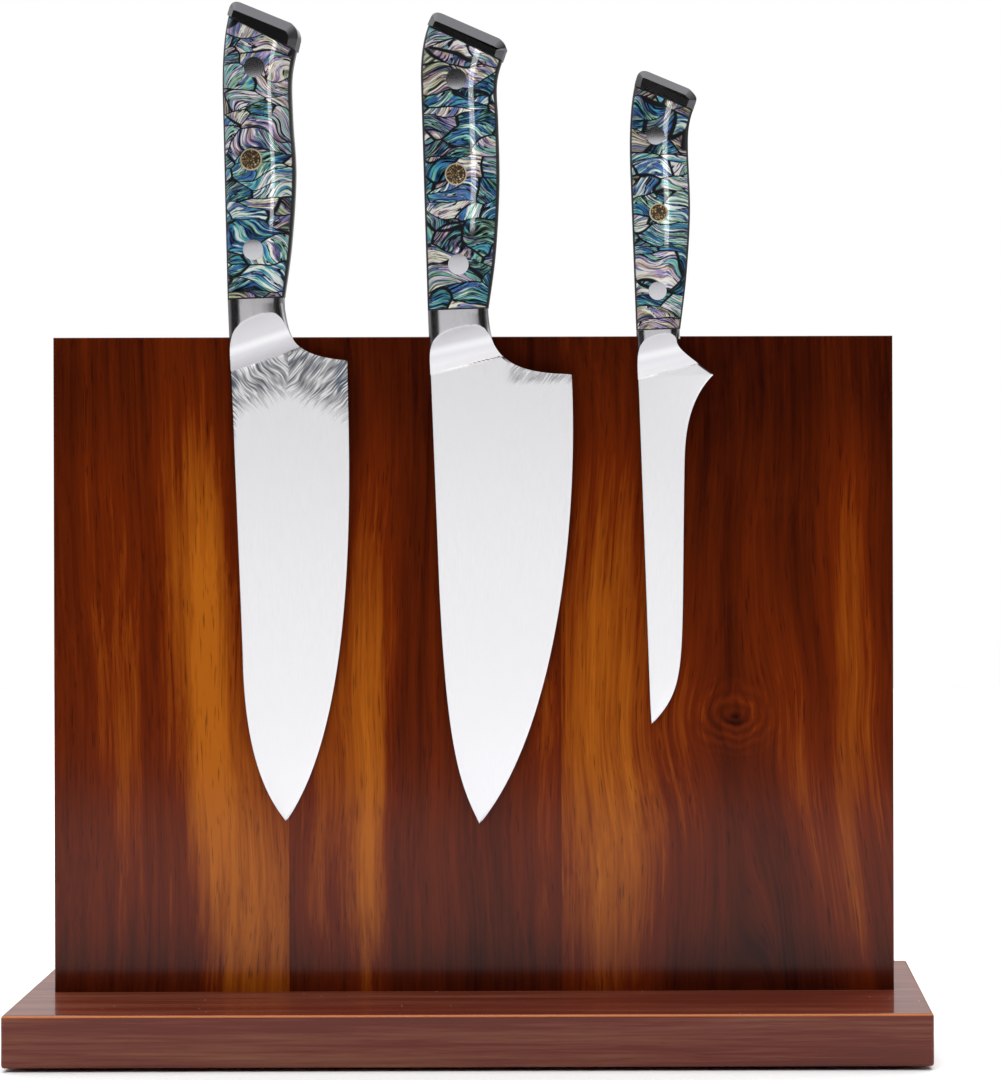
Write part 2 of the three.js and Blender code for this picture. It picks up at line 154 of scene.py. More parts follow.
# Each knife lies flat in its own frame, in millimetres: x runs from the spine to the edge and z from
# the tip to the butt, with the origin where the spine meets the bolster line. The fittings are
# (x, z, radius). Scoop fade is how far below the bolster its painted shade and highlight end, and
# etch is how much of the etched pattern the blade has.
KNIVES = {
    "chef_knife": {
        "grip_edge": [(23.1, 0), (26.9, 22), (29.7, 50), (29.3, 72), (29.7, 90), (32.9, 103.8)],
        "grip_spine": [(1.4, 85), (2, 108)],
        "cap_low": (2.4, 117), "cap_right": (31.6, 100.6),
        "top_left": (8.3, 121.3), "top_right": (33.9, 109.6),
        "face_shift": (-0.8, -1),
        "grip_half": 9, "bolster_half": 7, "neck": 11, "scoop": 19, "scoop_lean": 0.33,
        "choil": [(22.6, -2), (24.1, -16.8), (24.9, -23.7), (47.7, -26.5)],
        "edge": [[(47.7, -26.5), (46.6, -56), (49.2, -169.7), (15.1, -214.6)]],
        "spine_drop": [(0, -145), (-1, -192), (9.9, -207), (15.1, -214.6)],
        "shell_shift": 0.31, "scoop_fade": 0.6, "etch": "full",
        "fittings": {
            "upper_rivet": (15.5, 93.7, 4.2), "pin": (12.7, 56.4, 4.5), "lower_rivet": (12, 19.8, 4.2),
        },
    },
    "wide_chef_knife": {
        "grip_edge": [(24.7, 0), (28.5, 22), (31.1, 50), (31.6, 75), (31.8, 92), (35.7, 104.2)],
        "grip_spine": [(0.9, 92), (0.9, 109)],
        "cap_low": (2.7, 116.8), "cap_right": (34, 100.4),
        "top_left": (8.3, 121), "top_right": (36.7, 107.4),
        "face_shift": (-0.8, -1),
        "grip_half": 9, "bolster_half": 7, "neck": 10, "scoop": 16, "scoop_lean": 0.22,
        "choil": [(24.5, -2), (25.3, -12), (23.7, -26.9), (57.6, -28)],
        "edge": [[(57.6, -28), (58.4, -88.2), (45.8, -174), (12.8, -211.1)]],
        "spine_drop": [(0, -110), (0.4, -181), (5.6, -195.4), (12.8, -211.1)],
        "shell_shift": 1.17, "scoop_fade": 9, "etch": "patch",
        "fittings": {
            "upper_rivet": (15.7, 93.1, 4.2), "pin": (14.1, 54.7, 4.5), "lower_rivet": (13.6, 18.2, 4.2),
        },
    },
    "boning_knife": {
        "grip_edge": [(18, 0), (21.4, 22), (23.8, 48), (23.9, 74), (25, 84), (27.9, 92.3)],
        "grip_spine": [(0, 66), (0.2, 93)],
        "cap_low": (2.2, 99.6), "cap_right": (26.4, 88.6),
        "top_left": (6.4, 105.6), "top_right": (28, 95.6),
        "face_shift": (-0.3, -0.3),
        "grip_half": 8, "bolster_half": 6, "neck": 4, "scoop": 16, "scoop_lean": 0.22,
        "choil": [(17.6, -1), (17.3, -7.6), (13.3, -5.5), (30.9, -19.2)],
        "edge": [
            [(30.9, -19.2), (18.9, -29.9), (18.4, -47.5), (17.9, -52)],
            [(17.9, -52), (13, -139.4), (16.4, -145.7), (0.3, -161.7)],
        ],
        "spine_drop": [(0, -150), (0, -154), (0.1, -158), (0.3, -161.7)],
        "shell_shift": 2.43, "scoop_fade": 9, "etch": "none",
        "fittings": {
            "upper_rivet": (10.8, 78.6, 3.7), "pin": (10.9, 47.4, 3.8), "lower_rivet": (9.3, 15.7, 3.7),
        },
    },
}

# Measures of every knife, in millimetres. The first three are half thicknesses of the steel: at the
# tang, and at the spine by the heel and by the tip.
TANG_HALF = 1.5
HEEL_HALF = 1.25
TIP_HALF = 0.7
EDGE_RATIO = 0.16       # thickness above the bevel, as a share of the spine's
SECTION_POWER = 2.4     # how square the grip's rounded section is
GRIP_MIDDLE = 12        # x near the middle of a grip
PIN_DOME = 0.05         # rise of a pin's and of a rivet's domed ends
RIVET_DOME = 0.12
ETCH_CENTRE = 24 * MM   # where the etched strokes meet, from the spine

# Lights: place, target and size in metres, and the radiance for each group of pieces, where 1 is white.
LIGHTS = {
    "overhead": ((0, 0, 2.2), (0, 0, 0), (3.2, 4.0), {"block": 2.5, "steel": 0.78, "grips": 1.8}),
    "key": ((-0.5, -1.6, 2.0), (0, 0, 0.15), (1.4, 1.0), {"block": 2.0, "steel": 0.8, "grips": 3.0}),
    "card_1": ((0, -1.65, -0.185), (0, 0, -0.185), (2.4, 0.53), {"steel": 1.16}),
    "card_2": ((0, -1.65, 0.125), (0, 0, 0.125), (2.4, 0.09), {"steel": 1.06}),
    "card_3": ((0, -1.65, 0.205), (0, 0, 0.205), (2.4, 0.07), {"steel": 0.92}),
    "card_4": ((0, -1.65, 0.27), (0, 0, 0.27), (2.4, 0.06), {"steel": 1.1}),
    "card_5": ((0, -1.65, 0.335), (0, 0, 0.335), (2.4, 0.07), {"steel": 1.08}),
    "strip": ((0.33, -1.9, 0.42), (0, 0, 0.36), (0.26, 0.34), {"grips": 8.5}),
}
CAMERA_ROLL = math.radians(-0.15)
CAMERA_SHIFT = (-0.130, -0.088)
SENSOR_WIDTH = 36


# ---- Settings ----

def length(name, description, default, **limits):
    return bpy.props.FloatProperty(
        name=name, description=description, default=default, unit="LENGTH", **limits)


def paint(name, description, default):
    return bpy.props.FloatVectorProperty(
        name=name, description=description, default=default, subtype="COLOR")


class BlockSettings(bpy.types.PropertyGroup):
    board_edge: length("Board edge", "Rounding of the board's outer edges", 0.5 * MM, min=0)
    base_edge: length("Base edge", "Rounding of the base plate's edges", 1.3 * MM, min=0)
    let_in_gap: length("Let-in gap", "Clearance round magnets, strips, screws and feet", 0.3 * MM, min=0)
    wood_dark: paint("Dark wood", "The darkest grain of the board", (0.020, 0.0022, 0.0009))
    wood_light: paint("Golden wood", "The lightest grain of the board", (0.47, 0.125, 0.008))
    base_dark: paint("Base dark", "The darkest grain of the base plate", (0.085, 0.026, 0.015))
    base_light: paint("Base light", "The lightest grain of the base plate", (0.27, 0.115, 0.058))


class KnifeSettings(bpy.types.PropertyGroup):
    edge_bevel: length("Edge bevel", "Width of the bevel along the cutting edge", 0.8 * MM, min=0.1 * MM)
    spine_round: length("Spine rounding", "Rounding of the blade's spine", 0.35 * MM, min=0.05 * MM)
    cap_chamfer: length("Cap chamfer", "Width of the chamfer round the butt cap", 2.7 * MM, min=0.1 * MM)
    pin_wall: length("Pin wall", "Wall of the brass tube round the mosaic pin", 0.55 * MM, min=0.1 * MM)
    steel: paint("Steel", "Colour of the polished steel", (0.748, 0.739, 0.757))
    brass: paint("Brass", "Colour of the pin's tube", (0.80, 0.66, 0.45))


class StageSettings(bpy.types.PropertyGroup):
    floor_size: length("Floor size", "Side of the square floor", 2.6, min=1)
    floor_front: length("Floor front", "From the block's middle to the floor's front edge", 0.85, min=0.1)
    distance: length("Camera distance", "From the front of the base to the camera", 1.156, min=0.2)
    camera_x: length("Camera across", "The camera's place from left to right", 0.069)
    camera_z: length("Camera height", "The camera's height above the floor", 0.2468)
    lens: bpy.props.FloatProperty(
        name="Lens", description="Focal length in millimetres", default=97.8, min=10)


# ---- Modelling helpers ----

def select_none():
    bpy.ops.object.select_all(action="DESELECT")


def select_only(*pieces):
    select_none()
    for piece in pieces:
        piece.select_set(True)
    bpy.context.view_layer.objects.active = pieces[0]


def new_piece(name):
    piece = bpy.context.object
    piece.name = name
    piece.data.name = name
    return piece


@contextmanager
def editing(piece, mode="FACE"):
    """Edit mode on one piece, with nothing selected, and its mesh to select in."""
    select_only(piece)
    bpy.ops.object.mode_set(mode="EDIT")
    bpy.ops.mesh.select_mode(type=mode)
    bpy.ops.mesh.select_all(action="DESELECT")
    yield bmesh.from_edit_mesh(piece.data)
    bpy.ops.object.mode_set(mode="OBJECT")


def pick(piece, elements, chosen):
    """Selects the vertices, edges or faces that pass a test."""
    for element in elements:
        if chosen(element):
            element.select_set(True)
    bmesh.update_edit_mesh(piece.data)


def apply_modifier(piece, kind, **settings):
    select_only(piece)
    bpy.ops.object.modifier_add(type=kind)
    modifier = piece.modifiers[-1]
    for key, value in settings.items():
        setattr(modifier, key, value)
    bpy.ops.object.modifier_apply(modifier=modifier.name)


def combine(piece, tool, operation):
    """Cuts a tool piece from a piece, or joins it on, and removes the tool."""
    apply_modifier(piece, "BOOLEAN", operation=operation, object=tool, solver="EXACT")
    bpy.data.objects.remove(tool)


def set_in_place(piece):
    select_only(piece)
    bpy.ops.object.transform_apply(location=True, rotation=True, scale=True)


def add_block(name, low, high):
    low, high = Vector(low), Vector(high)
    select_none()
    bpy.ops.mesh.primitive_cube_add(size=1, location=(low + high) / 2, scale=high - low)
    piece = new_piece(name)
    set_in_place(piece)
    return piece


def add_rod(name, radius, start, end, vertices=48):
    """A round rod from one point to another."""
    start, end = Vector(start), Vector(end)
    along = end - start
    select_none()
    bpy.ops.mesh.primitive_cylinder_add(
        vertices=vertices, radius=radius, depth=along.length, location=(start + end) / 2,
        rotation=along.to_track_quat("Z", "Y").to_euler())
    piece = new_piece(name)
    set_in_place(piece)
    return piece


def joined(pieces):
    select_only(*pieces)
    bpy.ops.object.join()
    return bpy.context.object


def mend(piece):
    """Merges doubles and turns every face outwards."""
    with editing(piece, "VERT"):
        bpy.ops.mesh.select_all(action="SELECT")
        bpy.ops.mesh.remove_doubles(threshold=2e-6)
        bpy.ops.mesh.normals_make_consistent(inside=False)


def smooth(piece, degrees=35):
    select_only(piece)
    bpy.ops.object.shade_smooth_by_angle(angle=math.radians(degrees))


def smooth_flats(piece, degrees=50):
    """Smooth edges with large faces that stay flat."""
    smooth(piece, degrees)
    apply_modifier(piece, "WEIGHTED_NORMAL", keep_sharp=True, weight=80)


def settle(piece, body, nodes, materials):
    """Gives a finished piece its materials and body, and hides the CAD nodes that it stands for."""
    piece.data.materials.clear()
    for material in materials:
        piece.data.materials.append(material)
    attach(piece, body)
    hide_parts(*nodes)


def add_sheet(name, columns, rows, place):
    """A grid with its corners at (0, 0) and (1, 1), each point then moved to place(u, v)."""
    select_none()
    bpy.ops.mesh.primitive_grid_add(
        x_subdivisions=columns, y_subdivisions=rows, size=1, location=(0, 0, 0))
    piece = new_piece(name)
    for vertex in piece.data.vertices:
        vertex.co = place(vertex.co.x + 0.5, vertex.co.y + 0.5)
    piece.data.update()
    return piece


# ---- Knife profiles ----

def bezier_points(controls, steps):
    start, first, second, end = (Vector((x, z)) for x, z in controls)
    return [tuple(point) for point in interpolate_bezier(start, first, second, end, steps)]


def quadratic_points(start, control, end, steps):
    start, control, end = Vector(start), Vector(control), Vector(end)
    points = []
    for i in range(steps):
        t = i / (steps - 1)
        points.append(tuple((1 - t) ** 2 * start + 2 * t * (1 - t) * control + t * t * end))
    return points


def through_points(points, steps):
    """A smooth curve through every point."""
    padded = [Vector(points[0]), *map(Vector, points), Vector(points[-1])]
    curve = []
    for a, b, c, d in zip(padded, padded[1:], padded[2:], padded[3:]):
        for i in range(steps):
            t = i / steps
            curve.append(tuple(0.5 * (2 * b + (c - a) * t + (2 * a - 5 * b + 4 * c - d) * t ** 2
                                      + (3 * b - a - 3 * c + d) * t ** 3)))
    curve.append(tuple(points[-1]))
    return curve


def x_reader(points):
    """A function that reads x from a row of (x, z) points, for any z."""
    ordered = sorted(points, key=lambda point: point[1])
    xs = [x for x, z in ordered]
    zs = [z for x, z in ordered]
    return lambda z: float(np.interp(z, zs, xs))


class Knife:
    """One knife's profile in its own frame, in millimetres, and its place in the block."""

    def __init__(self, name, settings):
        shape = KNIVES[name]
        self.name = name
        self.shape = shape
        self.settings = settings
        choil = [(shape["choil"][0][0], 0), *bezier_points(shape["choil"], 40)]
        edge = [point for part in shape["edge"] for point in bezier_points(part, 90)]
        self.blade_edge = x_reader(choil + edge)
        self.blade_spine = x_reader([(0, 10), *bezier_points(shape["spine_drop"], 60)])
        self.heel = shape["choil"][-1][1]
        self.tip = shape["edge"][-1][-1][1]
        self.grip_curve = through_points(shape["grip_edge"], 12)
        self.grip_edge = x_reader(self.grip_curve)
        left_x, left_z = shape["top_left"]
        self.spine_curve = quadratic_points(*shape["grip_spine"], (left_x - 2.1, left_z - 2.4), 24)
        self.grip_spine = x_reader([(0, 0), *self.spine_curve])
        self.place = self.find_place()

    def find_place(self):
        """The knife's frame, worked out from where its two rivets are in the CAD model."""
        upper = box_centre(f"{self.name}_upper_rivet")
        lower = box_centre(f"{self.name}_lower_rivet")
        ux, uz, _ = self.shape["fittings"]["upper_rivet"]
        lx, lz, _ = self.shape["fittings"]["lower_rivet"]
        along = upper - lower
        lean = math.atan2(-along.y, along.z)
        tilt = math.atan2(math.hypot(along.y, along.z), along.x) - math.atan2(uz - lz, ux - lx)
        turn = Matrix.Rotation(lean, 4, "X") @ Matrix.Rotation(-tilt, 4, "Y")
        origin = upper - turn @ Vector((ux * MM, 0, uz * MM))
        return Matrix.Translation(origin) @ turn

    def hang(self, piece):
        """Moves a mesh from the knife's own frame to its place."""
        piece.matrix_world = self.place
        set_in_place(piece)

    def cap_line(self, x):
        """Height of the line where the scales meet the cap."""
        (low_x, low_z), (right_x, right_z) = self.shape["cap_low"], self.shape["cap_right"]
        return low_z + (x - low_x) * (right_z - low_z) / (right_x - low_x)

    def grip_point(self, across, share, start, gap):
        """x and z on the grip: across from the spine, and a share of the way from start to the cap."""
        z = start + share * (self.cap_line(GRIP_MIDDLE) - start - gap)
        for _ in range(4):
            x = self.grip_spine(z) + across * (self.grip_edge(z) - self.grip_spine(z))
            z = start + share * (self.cap_line(x) - start - gap)
        return x, z

    def grip_half(self, z):
        waist = min(1, max(0, 1 - z / 45))
        full, thin = self.shape["grip_half"], self.shape["bolster_half"]
        return full - (full - thin) * waist ** 2

    def section(self, across, half):
        """Half thickness of the rounded grip section, from 0 at the spine side to 1 at the edge side."""
        side = abs(2 * across - 1)
        return TANG_HALF + (half - TANG_HALF) * max(0, 1 - side ** SECTION_POWER) ** (1 / SECTION_POWER)

    def blade_half(self, across, x, z):
        """Half thickness of the forged blank: a round-sided neck, scooped down to a flat-ground blade."""
        s = -z
        width = self.blade_edge(z) - self.blade_spine(z)
        spine_half = HEEL_HALF + (TIP_HALF - HEEL_HALF) * s / -self.tip
        full_width = self.blade_edge(min(z, self.heel)) - self.blade_spine(z)
        ground = spine_half * (1 - (1 - EDGE_RATIO) * across * width / full_width)
        edge_gap = (1 - across) * width
        bevel = min(self.settings.edge_bevel / MM, width / 3)
        if edge_gap < bevel and s > 4:
            sharp = 0.15 if z < self.heel else 0.6
            ground *= sharp + (1 - sharp) * edge_gap / bevel
        round_size = min(self.settings.spine_round / MM, width / 3)
        spine_gap = across * width
        if spine_gap < round_size:
            ground *= 0.55 + 0.45 * math.sqrt(1 - (1 - spine_gap / round_size) ** 2)
        t = (s + self.shape["scoop_lean"] * x - self.shape["neck"]) / self.shape["scoop"]
        t = min(1, max(0, t))
        if t >= 1:
            return ground
        bolster = self.shape["bolster_half"]
        fall = ((1 - t) ** 2 + 0.12 * (1 - t)) / 1.12
        scooped = spine_half + (bolster - spine_half) * fall
        return max(ground, min(scooped, self.section(across, bolster)))

    def surface(self, x, z):
        """Half thickness of the grip at a place."""
        spine, edge = self.grip_spine(z), self.grip_edge(z)
        return self.section((x - spine) / (edge - spine), self.grip_half(z))


def knives():
    settings = bpy.context.scene.knife_settings
    return [Knife(name, settings) for name in KNIVES]


# ---- Shader helpers ----

class Graph:
    """Adds shader nodes to a tree. Each call returns the socket that the next one takes."""

    def __init__(self, tree):
        self.tree = tree

    def feed(self, socket, value):
        if isinstance(value, bpy.types.NodeSocket):
            self.tree.links.new(value, socket)
        else:
            socket.default_value = value

    def node(self, kind, inputs=None, **settings):
        node = self.tree.nodes.new(kind)
        for key, value in settings.items():
            setattr(node, key, value)
        for key, value in (inputs or {}).items():
            self.feed(node.inputs[key], value)
        return node

    def math(self, operation, *values, clamp=False):
        inputs = dict(enumerate(values))
        return self.node("ShaderNodeMath", inputs, operation=operation, use_clamp=clamp).outputs[0]

    def add(self, first, second):
        return self.math("ADD", first, second)

    def sub(self, first, second):
        return self.math("SUBTRACT", first, second)

    def mul(self, first, second):
        return self.math("MULTIPLY", first, second)

    def mul_add(self, first, second, third, clamp=False):
        return self.math("MULTIPLY_ADD", first, second, third, clamp=clamp)

    def vector(self, operation, *values, output=0):
        node = self.node("ShaderNodeVectorMath", operation=operation)
        for socket, value in zip(node.inputs, values):
            self.feed(socket, value)
        return node.outputs[output]

    def scaled(self, vector, scale, turn=(0, 0, 0), shift=(0, 0, 0)):
        inputs = {"Vector": vector, "Scale": scale, "Rotation": turn, "Location": shift}
        return self.node("ShaderNodeMapping", inputs).outputs[0]

    def parts(self, vector):
        node = self.node("ShaderNodeSeparateXYZ", {0: vector})
        return node.outputs[0], node.outputs[1], node.outputs[2]

    def point(self, x, y, z):
        return self.node("ShaderNodeCombineXYZ", {0: x, 1: y, 2: z}).outputs[0]

    def noise(self, vector, scale=1.0, detail=2.0, roughness=0.5, distortion=0.0, output="Fac"):
        inputs = {"Vector": vector, "Scale": scale, "Detail": detail,
                  "Roughness": roughness, "Distortion": distortion}
        return self.node("ShaderNodeTexNoise", inputs).outputs[output]

    def wander(self, vector, scale, amount, **settings):
        """A shift that changes smoothly from place to place, by up to half of amount either way."""
        noise = self.noise(vector, scale, output="Color", **settings)
        return self.vector("MULTIPLY", self.vector("SUBTRACT", noise, (0.5, 0.5, 0.5)), amount)

    def streaks(self, along, across, layer, scales, detail, **settings):
        """Noise drawn out in one direction, with a pattern of its own on each layer."""
        place = self.point(self.mul(along, scales[0]), self.mul(across, scales[1]), layer)
        return self.noise(place, detail=detail, **settings)

    def cells(self, vector, scale=1.0, feature="F1", output="Color"):
        inputs = {"Vector": vector, "Scale": scale}
        return self.node("ShaderNodeTexVoronoi", inputs, feature=feature).outputs[output]

    def span(self, value, low, high, to_low=0.0, to_high=1.0, soft=True):
        inputs = {0: value, 1: low, 2: high, 3: to_low, 4: to_high}
        kind = "SMOOTHSTEP" if soft else "LINEAR"
        return self.node("ShaderNodeMapRange", inputs, interpolation_type=kind).outputs[0]

    def mix(self, factor, first, second, blend="MIX"):
        inputs = {0: factor, 6: first, 7: second}
        return self.node("ShaderNodeMix", inputs, data_type="RGBA", blend_type=blend).outputs[2]

    def ramp(self, factor, stops, interpolation="LINEAR"):
        node = self.node("ShaderNodeValToRGB", {0: factor})
        node.color_ramp.interpolation = interpolation
        elements = node.color_ramp.elements
        while len(elements) < len(stops):
            elements.new(0.5)
        for element, (place, colour) in zip(elements, stops):
            element.position = place
            element.color = (*colour, 1)
        return node.outputs[0]

    def bump(self, height, distance, strength=1.0):
        inputs = {"Height": height, "Distance": distance, "Strength": strength}
        return self.node("ShaderNodeBump", inputs).outputs[0]

    def use(self, group, **inputs):
        node = self.node("ShaderNodeGroup", node_tree=group)
        for key, value in inputs.items():
            self.feed(node.inputs[key.replace("_", " ")], value)
        return node.outputs


def colour(value):
    return (*value, 1)


def new_group(name, inputs, outputs):
    """An empty shader node group. Inputs are name: default, and outputs are names of sockets."""
    group = bpy.data.node_groups.new(name, "ShaderNodeTree")
    kinds = {float: "NodeSocketFloat", tuple: "NodeSocketColor", str: "NodeSocketVector"}
    for key, default in inputs.items():
        socket = group.interface.new_socket(key, in_out="INPUT", socket_type=kinds[type(default)])
        if not isinstance(default, str):
            socket.default_value = default
    for key, kind in outputs.items():
        group.interface.new_socket(key, in_out="OUTPUT", socket_type=f"NodeSocket{kind}")
    graph = Graph(group)
    start = graph.node("NodeGroupInput").outputs
    end = graph.node("NodeGroupOutput").inputs
    return group, graph, start, end


def cached_group(build):
    """The group that a function builds, made the first time that it is asked for."""
    name = build.__name__.replace("_", " ").capitalize()
    return bpy.data.node_groups.get(name) or build(name)


def new_material(name, **shader):
    """A material with its Principled shader, and the graph to add to. Values go on the shader itself."""
    material = bpy.data.materials.new(name)
    material.use_nodes = True
    graph = Graph(material.node_tree)
    principled = material.node_tree.nodes["Principled BSDF"]
    for key, value in shader.items():
        graph.feed(principled.inputs[key.replace("_", " ")], value)
    coordinates = graph.node("ShaderNodeTexCoord").outputs
    return material, graph, principled.inputs, coordinates


# ---- Wood ----

def wood_band(name):
    """A soft stripe of lighter wood, which may lean, and which fades out above and below a height."""
    group, graph, start, end = new_group(name, {
        "Across": 0.0, "Along": 0.0, "Centre": 0.0, "Lean": 0.0, "Half width": 0.02,
        "Strength": 1.0, "Height": 0.15, "Reach": 0.3,
    }, {"Value": "Float"})
    rise = graph.sub(start["Along"], start["Height"])
    line = graph.mul_add(rise, start["Lean"], start["Centre"])
    off = graph.math("DIVIDE", graph.sub(start["Across"], line), start["Half width"])
    far = graph.math("DIVIDE", rise, start["Reach"])
    spread = graph.add(graph.mul(off, off), graph.mul(far, far))
    fade = graph.math("EXPONENT", graph.mul(spread, -1.0))
    graph.feed(end[0], graph.mul(fade, start["Strength"]))
    return group


def wood_grain(name):
    """Long-grained lacquered wood with its grain along Z. Figure is how light the wood is at a place."""
    group, graph, start, end = new_group(name, {
        "Vector": "", "Figure": 0.3, "Contrast": 1.0, "Dark": (0.02, 0.002, 0.001, 1.0),
        "Light": (0.45, 0.12, 0.01, 1.0),
    }, {"Color": "Color", "Height": "Float", "Gloss": "Float"})
    vector = start["Vector"]
    broad = graph.noise(graph.scaled(vector, (34, 34, 3.5)), detail=3, roughness=0.6)
    streak = graph.noise(graph.scaled(vector, (170, 170, 5)), detail=5, roughness=0.68, distortion=0.2)
    fibre = graph.noise(graph.scaled(vector, (820, 820, 19)), detail=4, roughness=0.65)
    pore = graph.noise(graph.scaled(vector, (1300, 1300, 70)), detail=1)
    lively = graph.mul_add(start["Figure"], 1.1, 0.42)
    lively = graph.mul(lively, start["Contrast"])
    rough = graph.mul(graph.sub(streak, 0.5), 0.85)
    rough = graph.mul_add(graph.sub(fibre, 0.5), 0.55, rough)
    rough = graph.mul_add(graph.sub(broad, 0.5), 0.5, rough)
    tone = graph.mul_add(rough, lively, start["Figure"], clamp=True)
    red = graph.mix(0.36, start["Dark"], start["Light"])
    red = graph.mix(1.0, red, (0.93, 0.45, 0.54, 1), "MULTIPLY")
    low = graph.mix(graph.span(tone, 0.0, 0.5, soft=False), start["Dark"], red)
    body = graph.mix(graph.span(tone, 0.45, 1.0, soft=False), low, start["Light"])
    dash = graph.span(pore, 0.62, 0.74)
    body = graph.mix(graph.mul(dash, 0.5), body, start["Dark"])
    graph.feed(end["Color"], body)
    graph.feed(end["Height"], graph.mul_add(dash, -0.6, fibre))
    graph.feed(end["Gloss"], graph.noise(vector, 12, 2))
    return group


def lacquer(graph, shader, grain, relief):
    """Clear gloss over grain that barely shows in the surface."""
    graph.feed(shader["Base Color"], grain["Color"])
    graph.feed(shader["Roughness"], graph.span(grain["Gloss"], 0, 1, 0.34, 0.4))
    graph.feed(shader["Normal"], graph.bump(grain["Height"], relief, 0.25))


def stave_wood(name, bands, ground, turn=(0, 0, 0), shift=(0, 0, 0), knot=None, contrast=1.0):
    """Gloss acacia. Bands are (centre, lean, half width, strength, height, reach), in metres."""
    settings = bpy.context.scene.block_settings
    material, graph, shader, coordinates = new_material(
        name, Coat_Weight=0.38, Coat_Roughness=0.14, Specular_IOR_Level=0.02)
    vector = graph.scaled(coordinates["Object"], (1, 1, 1), turn)
    wander = graph.wander(graph.scaled(vector, (6, 6, 5), shift=shift), 1, (0.022, 0.022, 0))
    vector = graph.vector("ADD", vector, wander)
    lightness = ground
    if knot:
        vector, lightness = knotted(graph, vector, lightness, knot)
    across, _, along = graph.parts(vector)
    # Painted sheen: lighter in the lower part, standing in for the bright floor reflected in the lacquer.
    lightness = graph.mul_add(graph.span(along, 0.23, 0.13), 0.07, lightness)
    # Painted shade: darker at the very foot by the base, with a painted reflection of the base.
    lightness = graph.mul_add(graph.span(along, 0.055, 0.022), -0.14, lightness)
    # Painted shade: darker near the top, where less light falls.
    lightness = graph.mul_add(graph.span(along, 0.225, 0.275), -0.09, lightness)
    for centre, lean, half_width, strength, height, reach in bands:
        band = graph.use(cached_group(wood_band), Across=across, Along=along, Centre=centre, Lean=lean,
                         Half_width=half_width, Strength=strength, Height=height, Reach=reach)
        lightness = graph.add(lightness, band[0])
    grain = graph.use(
        cached_group(wood_grain), Vector=graph.vector("ADD", vector, shift), Figure=lightness,
        Contrast=contrast, Dark=colour(settings.wood_dark), Light=colour(settings.wood_light))
    lacquer(graph, shader, grain, 0.05 * MM)
    return material


def knotted(graph, vector, lightness, knot):
    """Parts the grain round a small knot at (x, y, z), with a few faint arcs round it."""
    x, _, z = knot
    from_knot = graph.vector("SUBTRACT", vector, (x, 0, z))
    from_knot = graph.vector("MULTIPLY", from_knot, (1, 0, 1.15))
    away = graph.vector("LENGTH", from_knot, output="Value")
    dx, _, dz = graph.parts(from_knot)
    pull = graph.math("DIVIDE", 0.00040, graph.mul_add(away, away, 0.00028))
    shift = graph.mul(dx, graph.mul(pull, -0.55))
    right = graph.mul(graph.span(dx, -0.008, 0.02), graph.span(dz, 0.02, -0.03))
    shift = graph.add(shift, graph.mul(graph.mul(dz, right), 0.16))
    vector = graph.vector("ADD", vector, graph.point(shift, 0.0, 0.0))
    rough = graph.noise(graph.scaled(from_knot, (110, 110, 80)), detail=3)
    turned = graph.mul_add(dz, -340.0, graph.mul(rough, 11.0))
    rings = graph.math("SINE", graph.mul_add(away, 1250.0, turned))
    near = graph.span(away, 0.024, 0.004)
    swirl = graph.mul(graph.mul_add(rings, 0.10, 0.10), near)
    heart = graph.mul(graph.span(away, 0.0065, 0.001), -0.3)
    return vector, graph.add(lightness, graph.add(swirl, heart))


def base_wood(name):
    """Gloss red-brown wood with its grain along the base."""
    settings = bpy.context.scene.block_settings
    material, graph, shader, coordinates = new_material(
        name, Coat_Weight=0.5, Coat_Roughness=0.08, Specular_IOR_Level=0.02)
    vector = graph.scaled(coordinates["Object"], (1, 1, 1), (0, math.radians(90), 0))
    grain = graph.use(cached_group(wood_grain), Vector=vector, Figure=0.5, Contrast=1.2,
                      Dark=colour(settings.base_dark), Light=colour(settings.base_light))
    lacquer(graph, shader, grain, 0.05 * MM)
    speck = graph.cells(coordinates["Object"], 260, output="Distance")
    rare = graph.cells(coordinates["Object"], 260)
    red, _, _ = graph.parts(rare)
    dust = graph.mul(graph.span(speck, 0.10, 0.05), graph.span(red, 0.86, 0.88))
    _, _, up = graph.parts(coordinates["Normal"])
    dust = graph.mul(dust, graph.span(up, 0.8, 0.95))
    # Painted highlight: the rounded edges that slope upwards get a bright orange tone, standing in for
    # light caught along the edge rounding.
    painted_edge_highlight = graph.mul(graph.span(up, 0.12, 0.35), graph.span(up, 0.97, 0.75))
    edge_highlight_tone, dust_tone = (0.55, 0.17, 0.045, 1), (0.62, 0.56, 0.52, 1)
    shade = graph.mix(graph.mul(painted_edge_highlight, 0.8), grain["Color"], edge_highlight_tone)
    graph.feed(shader["Base Color"], graph.mix(dust, shade, dust_tone))
    return material


# ---- Steel, brass, rubber and magnets ----

def fine_scratches(name):
    """Fine parallel scratches that run along Z, and faint cloudy wear."""
    group, graph, start, end = new_group(
        name, {"Vector": ""}, {"Scratch": "Float", "Cloud": "Float"})
    vector = start["Vector"]
    for key, scale, detail, roughness in [
            ("Scratch", (5200, 5200, 90), 2, 0.7), ("Cloud", (70, 70, 40), 4, 0.6)]:
        graph.feed(end[key], graph.noise(graph.scaled(vector, scale), 1, detail, roughness))
    return group


